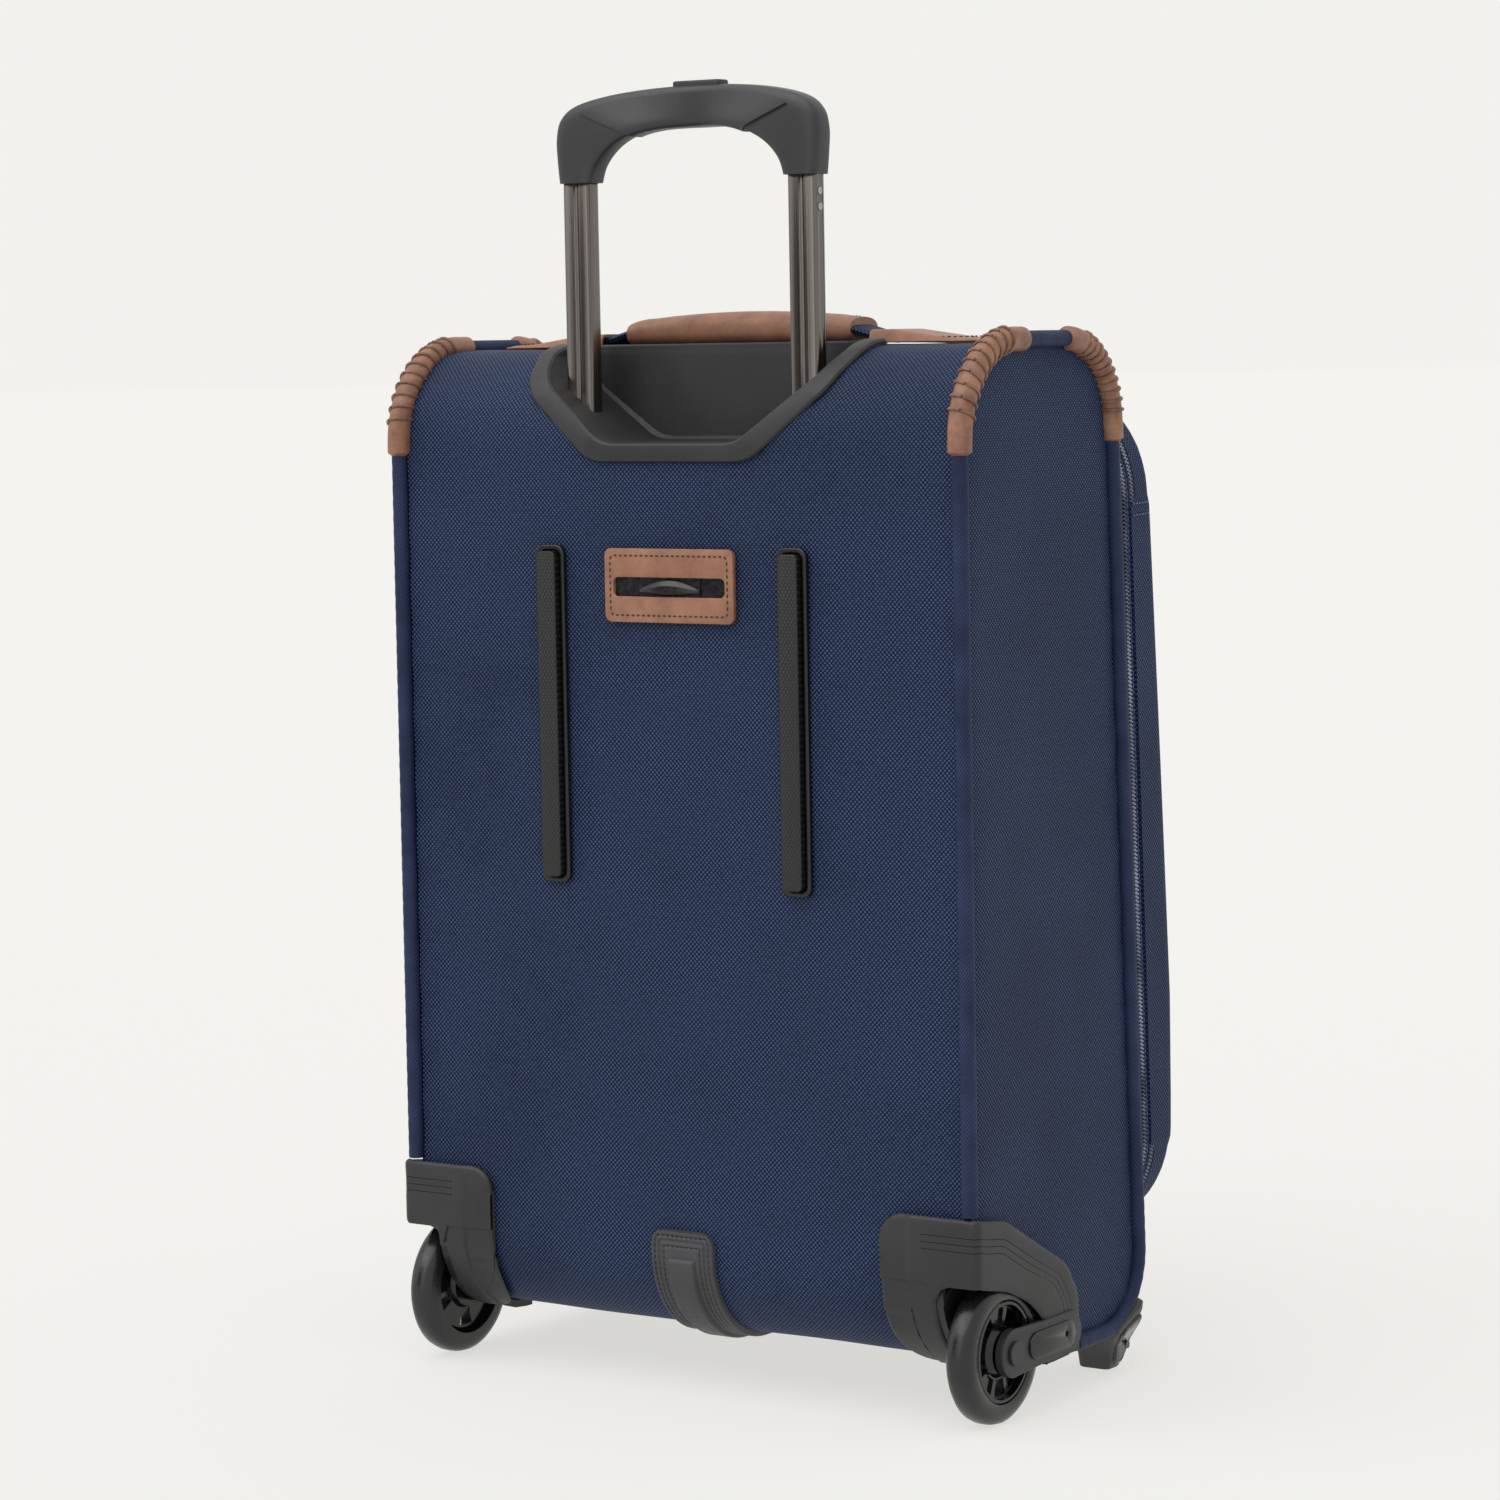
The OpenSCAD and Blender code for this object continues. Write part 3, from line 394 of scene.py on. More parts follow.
def side_panel(name, side):
    def place(u, v):
        y, z = -76 + 190 * u, 26 + 527 * v
        nearest = min(y + 66 - (z - 66) * math.tan(lean), 105 - y, z - 28, 550 - z)
        dip = 1.5 * math.exp(-(max(nearest, 0) / 9) ** 2)
        swell = 0.7 * rumple(y + 30 * side, z, 38) * min(1, max(nearest, 0) / 25)
        pull = 0.25 * math.sin((y + z) / 5) * math.exp(-(max(nearest, 0) / 14) ** 2)
        return (side * (176.1 - dip + swell + pull), y, z)

    panel = placed_grid(name, 40, 108, place, (190, 527))
    modify(panel, "SOLIDIFY", thickness=0.0015, offset=-side)
    weld(panel)
    cut_away(panel, side_block("side_cutter", side * 150, case_profile(2.5), side * 50),
             "INTERSECT")
    return cut_away(panel, side_block("side_well", side * 150, wheel_well(43.5, 81), side * 60))


for side, name in ((-1, "left"), (1, "right")):
    fit(side_panel(f"side_cloth_{name}", side), "case", navy_nylon, [f"side_fabric_{name}"])

# ---- Piping ----
# A cord covered in finer navy cloth is sewn in where the side panels meet the band of
# cloth, from above the wheel housings over the top and front to the underside.


# fine binding cloth with a slanting twill rib, drawn 1.3 mm apart; the rib's crests are painted
# in the paler lit colour, a painted highlight
def binding_cloth(name, ground, lit):
    material, tree, shader = new_material(name, ground, 0.6, Specular_IOR_Level=0.2)
    place = add_node(tree, "ShaderNodeTexCoord")
    turned = add_node(tree, "ShaderNodeMapping", {"Vector": (place, "UV"),
                      "Rotation": (0, 0, math.radians(35))})
    rib = add_node(tree, "ShaderNodeTexWave", {"Vector": (turned, 0), "Scale": 0.314 / 0.0013,
                   "Distortion": 1.2, "Detail": 2.0, "Detail Scale": 1.5}, wave_type="BANDS")
    patchy = add_node(tree, "ShaderNodeTexNoise", {"Vector": (place, "Object"), "Scale": 60.0,
                      "Detail": 3.0})
    amount = add_node(tree, "ShaderNodeMath", {0: (rib, "Fac"), 1: (patchy, "Fac")},
                      operation="MULTIPLY")
    # painted highlight: the rib's crests take the lit colour, varied at random in patches
    shade = add_node(tree, "ShaderNodeMix", {0: (amount, 0), 6: hex_colour(ground),
                     7: hex_colour(lit)}, data_type="RGBA")
    tree.links.new(shade.outputs[2], shader.inputs["Base Color"])
    relief = add_node(tree, "ShaderNodeBump", {"Height": (rib, "Fac"), "Strength": 0.35,
                      "Distance": 0.0003})
    tree.links.new(relief.outputs[0], shader.inputs["Normal"])
    return material


piping_cloth = binding_cloth("navy_binding_cloth", "#0c1530", "#3d4b72")


def tube_along(name, run, radius_at, around, along):
    """A closed round tube along a run; radius_at(share, angle) gives its radius in mm."""
    def place(u, v):
        centre, ahead = run.at(v), run.heading(v)
        aside = ahead.orthogonal() if abs(ahead.x) > 0.9 else Vector((1, 0, 0))
        aside = (aside - ahead * aside.dot(ahead)).normalized()
        other = ahead.cross(aside)
        angle = 2 * math.pi * u
        radius = radius_at(v, angle)
        return centre + aside * (radius * math.cos(angle)) + other * (radius * math.sin(angle))

    girth = 2 * math.pi * radius_at(0.5, 0)
    return weld(placed_grid(name, around, along, place, (girth, run.length)), fill=True)


piping_path = ([(106, 112)] + case_corner("rear top", -1) + case_corner("front top", -1)
               + case_corner("front foot", -1) + [(2, 27)])
for side, name in ((-1, "left"), (1, "right")):
    run = Run([(side * 176, y, z) for y, z in piping_path])
    cord = tube_along(f"piping_{name}", run,
                      lambda v, a: 4.2 + 0.12 * math.sin(v * 900) * math.cos(a), 12, 420)
    fit(cord, "case", piping_cloth, ["piping"], 60)

# ---- Leather corner guards ----
# A short sleeve of dark leather wraps the piping at each of the case's four upper corners,
# closed by a thin leather lace wound round and round it.


# oiled brown leather: fine pebbled grain about 1.5 mm across, with paler worn patches
def grained_leather(name, deep, worn, roughness=0.48, grain=1.5):
    material, tree, shader = new_material(name, worn, roughness, Specular_IOR_Level=0.45)
    place = add_node(tree, "ShaderNodeTexCoord")
    pebble = add_node(tree, "ShaderNodeTexVoronoi", {"Vector": (place, "Object"),
                      "Scale": 1000 / grain, "Randomness": 0.9},
                      feature="SMOOTH_F1")
    mottle = add_node(tree, "ShaderNodeTexNoise", {"Vector": (place, "Object"),
                      "Scale": 90.0, "Detail": 5.0, "Roughness": 0.65})
    tone = add_node(tree, "ShaderNodeMapRange", {"Value": (mottle, "Fac"), "From Min": 0.3,
                    "From Max": 0.7})
    shade = add_node(tree, "ShaderNodeMix", {0: (tone, 0), 6: hex_colour(deep),
                     7: hex_colour(worn)}, data_type="RGBA")
    tree.links.new(shade.outputs[2], shader.inputs["Base Color"])
    relief = add_node(tree, "ShaderNodeBump", {"Height": (pebble, "Distance"),
                      "Strength": 0.35, "Distance": 0.0003})
    tree.links.new(relief.outputs[0], shader.inputs["Normal"])
    return material


dark_leather = grained_leather("brown_saddle_leather", "#6b4636", "#9a7059")
lace_leather = grained_leather("leather_lace", "#5f3e30", "#8a6350", 0.42, 1.0)
rear_corner = [(106, 494)] + case_corner("rear top", -1) + [(43, 551)]
front_corner = [(front_high_y + 0.5, 551)] + case_corner("front top", -1) + [(-47.5, 497)]
lace_turns, lace_steps = 10, 16
for side, hand in ((-1, "left"), (1, "right")):
    for corner, name in ((rear_corner, "rear"), (front_corner, "front")):
        run = Run([(side * 176, y, z) for y, z in corner])

        def sleeve(v, a, length=run.length):
            end = min(v, 1 - v) * length
            return 6.3 * math.sqrt(max(0, 1 - max(0, 1 - end / 2.2) ** 3)) * 0.35 + 4.1

        guard = tube_along(f"corner_guard_{name}_{hand}", run, sleeve, 20, 60)
        fit(guard, "case", dark_leather, ["corner_guards"], 50)
        wraps = []
        for k in range(lace_turns * lace_steps + 1):
            share = 0.17 + 0.66 * k / (lace_turns * lace_steps)
            turn = side * 2 * math.pi * k / lace_steps
            centre, ahead = run.at(share), run.heading(share)
            other = ahead.cross(Vector((1, 0, 0)))
            wraps.append(centre + (Vector((1, 0, 0)) * math.cos(turn)
                                   + other * math.sin(turn)) * 6.75)
        lace = tube_along(f"corner_lace_{name}_{hand}", Run(wraps), lambda v, a: 0.95, 6, 330)
        fit(lace, "case", lace_leather, ["corner_guards"], 60)

# ---- Handle cup ----
# A black moulded plastic tray sunk in the top of the back, whose raised rim laps over the
# cut edge of the cloth. The two outer tubes open through its floor.


def rounded_copy(node, name, edge, segments=2, angle=30):
    """A copy of a CAD part with its flat faces made whole and its edges rounded, in mm."""
    drop_selection()
    piece = bpy.data.objects.new(name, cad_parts[node].data.copy())
    bpy.context.scene.collection.objects.link(piece)
    edit_all(piece)
    bpy.ops.mesh.remove_doubles(threshold=0.00002)
    bpy.ops.mesh.dissolve_limited(angle_limit=math.radians(1))
    bpy.ops.object.mode_set(mode="OBJECT")
    return round_edges(piece, edge, segments, angle, False)


# moulded polypropylene: a fine spark-eroded grain, drawn at 0.9 mm, and slight mottling; on the
# zip coil the mottling's pale colour is a painted glint
def moulded_plastic(name, colour, lit, roughness, grain=0.9, depth=0.4):
    material, tree, shader = new_material(name, colour, roughness, IOR=1.49)
    place = add_node(tree, "ShaderNodeTexCoord")
    fine = add_node(tree, "ShaderNodeTexNoise", {"Vector": (place, "Object"),
                    "Scale": 1000 / grain, "Detail": 2.0})
    broad = add_node(tree, "ShaderNodeTexNoise", {"Vector": (place, "Object"), "Scale": 22.0,
                     "Detail": 4.0})
    tone = add_node(tree, "ShaderNodeMapRange", {"Value": (broad, "Fac"), "From Min": 0.35,
                    "From Max": 0.65})
    shade = add_node(tree, "ShaderNodeMix", {0: (tone, 0), 6: hex_colour(colour),
                     7: hex_colour(lit)}, data_type="RGBA")
    tree.links.new(shade.outputs[2], shader.inputs["Base Color"])
    gloss = add_node(tree, "ShaderNodeMapRange", {"Value": (fine, "Fac"), "From Min": 0.3,
                     "From Max": 0.7, "To Min": roughness - 0.06, "To Max": roughness + 0.08})
    tree.links.new(gloss.outputs[0], shader.inputs["Roughness"])
    relief = add_node(tree, "ShaderNodeBump", {"Height": (fine, "Fac"), "Strength": depth,
                      "Distance": 0.00012})
    tree.links.new(relief.outputs[0], shader.inputs["Normal"])
    return material


cup_plastic = moulded_plastic("black_moulded_polypropylene", "#1c1b1d", "#242326", 0.5)


def eased_line(points, radius, steps=5):
    """A line whose inner corners are rounded, with the same number of points at any size."""
    line = [points[0]]
    for before, corner, after in zip(points, points[1:], points[2:]):
        before, corner, after = Vector(before), Vector(corner), Vector(after)
        start = corner + (before - corner).normalized() * radius
        end = corner + (after - corner).normalized() * radius
        for k in range(steps + 1):
            t = k / steps
            line.append(tuple(start * (1 - t) ** 2 + corner * 2 * t * (1 - t) + end * t * t))
    return line + [points[-1]]


def cup_line(out):
    low = 500.5 - 0.9 * out
    half = [(91 + out, 545), (83.5 + out, low + 32 + 0.4 * out), (42 + 0.7 * out, low)]
    return eased_line([(-x, z) for x, z in half] + half[::-1], 8.5)


cup_inner, cup_outer = cup_line(0), cup_line(11)
cup_stations = []
for k in range(9):
    turn = math.radians(90 - 25.8 * k / 8)
    cup_stations.append(((-91, turn), (-102, turn)))
cup_stations += [((a[0], a[1], 0), (b[0], b[1], 0)) for a, b in zip(cup_inner, cup_outer)][1:-1]
cup_stations += [((-a[0], a[1]), (-b[0], b[1])) for a, b in cup_stations[8::-1]]


def on_top_edge(x, turn, proud):
    """A point on the case's rounded rear top edge, proud of the cloth."""
    (y, z), radius = case_corners["rear top"][:2]
    return Vector((x, y + (radius + proud) * math.cos(turn),
                   z + (radius + proud) * math.sin(turn)))


def on_case_back(x, z, proud):
    """A point on the case's back or rear top edge, proud of the cloth."""
    if z <= 500:
        return Vector((x, 105 + proud, z))
    return on_top_edge(x, math.asin(min(1, (z - 500) / 50)), proud)


cup_section = [(1.0, -1.2), (1.0, 1.2), (0.93, 2.4), (0.8, 2.8), (0.3, 2.7), (0.12, 2.5),
               (0.02, 1.4), (0.0, 0.2)]
cup_rings = []
for inner, outer in cup_stations:
    spots = []
    for out, proud in cup_section:
        if len(inner) == 2:
            spots.append(on_top_edge(inner[0] + (outer[0] - inner[0]) * out, inner[1], proud))
        else:
            x = inner[0] + (outer[0] - inner[0]) * out
            z = inner[1] + (outer[1] - inner[1]) * out
            spots.append(on_case_back(x, z, proud))
    edge = spots[-1]
    pull = Vector((-edge.x, 0, 524 - edge.z)).normalized()
    spots += [Vector((edge.x, min(edge.y, 92), edge.z)),
              Vector((edge.x, min(edge.y, 62), edge.z)) + pull * 0.3,
              Vector((edge.x, min(edge.y, 57.2), edge.z)) + pull * 1.6,
              Vector((edge.x, min(edge.y, 55.4), edge.z)) + pull * 4.5]
    cup_rings.append(spots)
for k in range(1, 12):
    x = 91 - 182 * k / 12
    top = []
    for out, proud in cup_section:
        top.append(Vector((x * (1 + 0.12 * out), 55 - 5.5 * out, 550 + 0.55 * proud)))
    top += [Vector((x, 55, 549.6)), Vector((x, 55.1, 548.4)), Vector((x, 55.3, 547.2)),
            Vector((x, 55.4, 545.2))]
    cup_rings.append(top)


def on_cup(u, v):
    ring = cup_rings[round(v * len(cup_rings)) % len(cup_rings)]
    return ring[round(u * (len(ring) - 1))]


cup_piece = weld(placed_grid("handle_cup_shell", 11, len(cup_rings), on_cup))
edit_all(cup_piece)
bpy.ops.mesh.select_all(action="DESELECT")
bpy.ops.object.mode_set(mode="OBJECT")
for edge in cup_piece.data.edges:
    ends = [cup_piece.data.vertices[k].co * 1000 for k in edge.vertices]
    edge.select = all(abs(end.y - 55.4) < 0.05 for end in ends)
for corner in cup_piece.data.vertices:
    corner.select = abs(corner.co.y * 1000 - 55.4) < 0.05
bpy.ops.object.mode_set(mode="EDIT")
bpy.ops.mesh.edge_face_add()
bpy.ops.mesh.select_all(action="SELECT")
bpy.ops.mesh.normals_make_consistent(inside=False)
bpy.ops.object.mode_set(mode="OBJECT")
thicken(cup_piece, 1.6, max(cup_piece.data.polygons, key=lambda face: face.area), (0, 1, 0))
fit(cup_piece, "case", cup_plastic, ["handle_cup"], 32)

# ---- Telescopic tubes ----
# Two stacks of three drawn aluminium tubes, anodised gunmetal, slide in one another. The
# visible ones have a shallow groove down the middle of each wide face.


# anodised aluminium: faint drawing lines down the length and a bronze-grey tint
def drawn_metal(name, dark, bright, roughness):
    material, tree, shader = new_material(name, bright, roughness, 1.0)
    place = add_node(tree, "ShaderNodeTexCoord")
    stretched = add_node(tree, "ShaderNodeMapping", {"Vector": (place, "Object"),
                         "Scale": (900, 900, 2.5)})
    lines = add_node(tree, "ShaderNodeTexNoise", {"Vector": (stretched, 0), "Scale": 1.0,
                     "Detail": 3.0, "Roughness": 0.6})
    shade = add_node(tree, "ShaderNodeMix", {0: (lines, "Fac"), 6: hex_colour(dark),
                     7: hex_colour(bright)}, data_type="RGBA")
    tree.links.new(shade.outputs[2], shader.inputs["Base Color"])
    gloss = add_node(tree, "ShaderNodeMapRange", {"Value": (lines, "Fac"), "From Min": 0.3,
                     "From Max": 0.7, "To Min": roughness - 0.05, "To Max": roughness + 0.1})
    tree.links.new(gloss.outputs[0], shader.inputs["Roughness"])
    return material


gunmetal = drawn_metal("gunmetal_anodised_aluminium", "#4a4643", "#86807b", 0.2)
dark_gunmetal = drawn_metal("dark_anodised_aluminium", "#45413e", "#7b756f", 0.26)
tube_x, tube_y = 70.8, 80


def tube_pair(node, name, body, finish, depth, groove, low, high):
    tubes = rounded_copy(node, name, 0.5, 2, 40)
    for side in (-1, 1):
        for face in (-1, 1):
            face_y = tube_y + face * depth / 2
            bar = [(side * tube_x + x, face_y + y, low) for x, y in
                   ((-groove / 2, -0.55), (groove / 2, -0.55), (groove / 2, 0.55),
                    (-groove / 2, 0.55))]
            cut_away(tubes, outline_block("groove_cutter", bar, (0, 0, high - low)))
    return fit(tubes, body, finish, [node], 30)


tube_pair("inner_tubes", "inner_tube_pair", "handle", gunmetal, 10, 3.4,
          180, 700)
tube_pair("middle_tubes", "middle_tube_pair", "handle_middle", dark_gunmetal,
          13, 4.4, 20, 700)
fit(rounded_copy("outer_tubes", "outer_tube_pair", 0.4), "case", dark_gunmetal,
    ["outer_tubes"])

# ---- Grip ----
# A moulded handgrip with a soft matt coating, broad at the shoulders and arched over the
# hand, plugged onto the inner tubes. Its button sits in the middle of the bar.

soft_touch = moulded_plastic("soft_touch_coated_plastic", "#28282b", "#303034", 0.42, 0.8, 0.2)
half_grip = [((-80.5, 636.5), (-60.5, 636.5)), ((-81.8, 648), (-57.5, 644.5)),
             ((-82.4, 660), (-51.5, 651.5)), ((-79.5, 670), (-43.5, 657)),
             ((-70, 677), (-33, 661.4)), ((-50, 681.8), (-22, 663.8)),
             ((-26, 684.4), (-11, 664.7)), ((0, 685.2), (0, 664.9))]
whole_grip = half_grip + [((-a[0], a[1]), (-b[0], b[1])) for a, b in half_grip[-2::-1]]


def spline(points, t):
    """A smooth line through evenly numbered points."""
    k = min(int(t * (len(points) - 1)), len(points) - 2)
    f = t * (len(points) - 1) - k
    p = [Vector(points[min(max(k + j, 0), len(points) - 1)]) for j in (-1, 0, 1, 2)]
    return 0.5 * (2 * p[1] + (p[2] - p[0]) * f + (2 * p[0] - 5 * p[1] + 4 * p[2] - p[3]) * f * f
                  + (3 * p[1] - p[0] - 3 * p[2] + p[3]) * f ** 3)


def on_grip(u, v, swell=0.0):
    outer = spline([a for a, b in whole_grip], v)
    inner = spline([b for a, b in whole_grip], v)
    middle, reach = (outer + inner) / 2, (outer - inner) / 2
    share = min(abs(middle.x) / 62, 1)
    bow = 1 - share * share * (3 - 2 * share)
    half_deep = 8.4 + 1.2 * bow
    angle = 2 * math.pi * u
    across = math.copysign(abs(math.cos(angle)) ** 0.42, math.cos(angle))
    deep = math.copysign(abs(math.sin(angle)) ** 0.42, math.sin(angle))
    spot = middle + reach * (1 + swell / reach.length) * across
    half_deep += swell
    return (spot.x, 79.6 - 11.5 * bow + half_deep * deep, spot.y)


grip_shell = weld(placed_grid("grip_shell", 40, 120, on_grip, (80, 260)), fill=True)
button_well = [(-15.2, 63.8, 676), (15.2, 63.8, 676), (15.2, 74.2, 676), (-15.2, 74.2, 676)]
cut_away(grip_shell, outline_block("button_cutter", button_well, (0, 0, 20)))
fit(grip_shell, "handle", soft_touch, ["grip"], 45)
grip_pad = placed_grid("grip_under_pad", 24, 70,
                       lambda u, v: on_grip(0.21 + 0.58 * u, 0.27 + 0.46 * v, 0.45), (40, 90))
modify(grip_pad, "SOLIDIFY", thickness=0.0011, offset=-1)
fit(weld(grip_pad), "handle", soft_touch, angle=45)
fit(rounded_copy("release_button", "release_button_cap", 1.2, 3), "release_button",
    cup_plastic, ["release_button"])

# ---- Rear rails ----
# Two black rails stand on the back to keep it off kerbs: a moulded base with a raised rim
# riveted through the board, and a harder insert with a fine diamond-cut face.

# hard nylon moulding with a diamond knurl of 1.8 mm spacing; its peaks are painted paler and its
# grooves darker, painted light and shade that follow the relief
knurled, knurl_tree, knurl_shader = new_material("knurled_black_nylon", "#1a1a1c", 0.42)
knurl_place = add_node(knurl_tree, "ShaderNodeTexCoord")
knurl_rows = []
for turn in (32, -32):
    turned = add_node(knurl_tree, "ShaderNodeMapping", {"Vector": (knurl_place, "Object"),
                      "Rotation": (0, math.radians(turn), 0)})
    knurl_rows.append(add_node(knurl_tree, "ShaderNodeTexWave", {
        "Vector": (turned, 0), "Scale": 0.314 / 0.0018}, wave_type="BANDS"))
knurl = add_node(knurl_tree, "ShaderNodeMath", {0: (knurl_rows[0], "Fac"),
                 1: (knurl_rows[1], "Fac")}, operation="MULTIPLY")
# painted shade in the knurl's grooves and painted highlight on its peaks
knurl_painted_shading = add_node(knurl_tree, "ShaderNodeMix", {0: (knurl, 0), 6: hex_colour("#050506"),
                      7: hex_colour("#1c1c1f")}, data_type="RGBA")
knurl_tree.links.new(knurl_painted_shading.outputs[2], knurl_shader.inputs["Base Color"])
knurl_relief = add_node(knurl_tree, "ShaderNodeBump", {"Height": (knurl, 0), "Strength": 0.6,
                        "Distance": 0.0004})
knurl_tree.links.new(knurl_relief.outputs[0], knurl_shader.inputs["Normal"])
rail_plastic = moulded_plastic("black_rail_moulding", "#0a0a0b", "#101012", 0.3)
fit(rounded_copy("back_rails", "rail_bases", 0.9, 3), "case", rail_plastic, ["back_rails"])
fit(rounded_copy("rail_inserts", "rail_wear_strips", 0.8, 3), "case", knurled,
    ["rail_inserts"])

# ---- Name patch ----
# A tan leather patch stitched to the back holds a slide-out plastic name tag. The tag's
# domed thumb tab shows through the long slot in the leather.

# the tab is polished black plastic
gloss_tag = moulded_plastic("polished_black_plastic", "#131315", "#1b1b1e", 0.22, 3.0, 0.1)
tan_leather = grained_leather("tan_saddle_leather", "#7a5341", "#9a6c53", 0.46, 1.3)
patch = rounded_copy("id_patch", "name_patch", 0.5, 2, 40)
fit(patch, "case", tan_leather, ["id_patch"])
backing = back_block("patch_backing", 105.45, rounded_outline(34.9, 418, 434, 2, 3), 0.3)
fit(backing, "case", gloss_tag)
tag_sheet = back_block("tag_sheet", 105.8, rounded_outline(19, 417, 435, 2, 3), 0.7)
fit(tag_sheet, "id_tag", gloss_tag)


def on_tag(u, v):
    x = 2 * u - 1
    low, high = 423.0 - (1 - x * x) * 1.8, 425.0 + (1 - x * x) * 5.6
    rise = 1.2 + 2.4 * (1 - x * x) ** 0.7 * min(1, 4 * v, 2.0 * (1 - v) ** 0.8)
    rise *= min(1, 8 * v, 8 * (1 - v)) ** 0.5
    return (18.8 * x, 106 + rise, low + (high - low) * v)


tag_tab = placed_grid("tag_tab", 40, 20, on_tag)
thicken(tag_tab, 0.6, tag_tab.data.polygons[400], (0, 1, 0))
fit(weld(tag_tab), "id_tag", gloss_tag, ["id_tag"], 40)


def along_run(name, run, pitch, size, sink, outwards, ends=0.0):
    """A row of small rounded stitches lying along a run, each size (long, wide, high) mm."""
    drop_selection()
    bpy.ops.mesh.primitive_uv_sphere_add(segments=6, ring_count=4, radius=0.0005)
    stitch = bpy.context.object
    stitch.name = name
    stitch.data.transform(Matrix.Rotation(math.radians(90), 4, "Y"))
    count = max(2, round((run.length - 2 * ends) / pitch))
    sewn = []
    for k in range(count):
        share = (ends + (k + 0.5) * (run.length - 2 * ends) / count) / run.length
        ahead = run.heading(share)
        up = Vector(outwards(share) if callable(outwards) else outwards)
        up = (up - ahead * up.dot(ahead)).normalized()
        across = up.cross(ahead)
        spot = (run.at(share) + up * sink) * 0.001
        turn = Matrix(((ahead.x, across.x, up.x), (ahead.y, across.y, up.y),
                       (ahead.z, across.z, up.z))).to_4x4()
        place = Matrix.Translation(spot) @ turn @ Matrix.Diagonal((*size, 1))
        copy = bpy.data.objects.new(name, stitch.data.copy())
        copy.data.transform(place)
        bpy.context.scene.collection.objects.link(copy)
        sewn.append(copy)
    bpy.data.objects.remove(stitch)
    drop_selection()
    for copy in sewn:
        copy.select_set(True)
    bpy.context.view_layer.objects.active = sewn[0]
    bpy.ops.object.join()
    sewn[0].name = name
    return sewn[0]


# waxed thread, a dark twist
def sewing_thread(name, colour):
    material, tree, shader = new_material(name, colour, 0.6, Sheen_Weight=0.2)
    place = add_node(tree, "ShaderNodeTexCoord")
    twist = add_node(tree, "ShaderNodeTexNoise", {"Vector": (place, "Object"),
                     "Scale": 1500.0, "Detail": 1.0})
    relief = add_node(tree, "ShaderNodeBump", {"Height": (twist, "Fac"), "Strength": 0.4,
                      "Distance": 0.0002})
    tree.links.new(relief.outputs[0], shader.inputs["Normal"])
    return material


brown_thread = sewing_thread("dark_brown_thread", "#1e120c")
patch_seam = Run([(x, 108.0, z) for x, z in rounded_outline(36.8, 411.2, 442.3, 2.5, 3)], True)
fit(along_run("name_patch_stitching", patch_seam, 3.3, (2.3, 1.15, 0.9), 0.0, (0, 1, 0)),
    "case", brown_thread)

# ---- Carry handles ----
# A padded leather sleeve is wrapped round a navy nylon strap and closed by stitches at both
# ends. The strap slides under a hooded leather tab at each end, sewn to the case.


def on_top(x, y, z):
    return Vector((x, 27 + y, 550 + z))


def on_right_side(x, y, z):
    return Vector((176 + z, 20 + y, 310 - x))


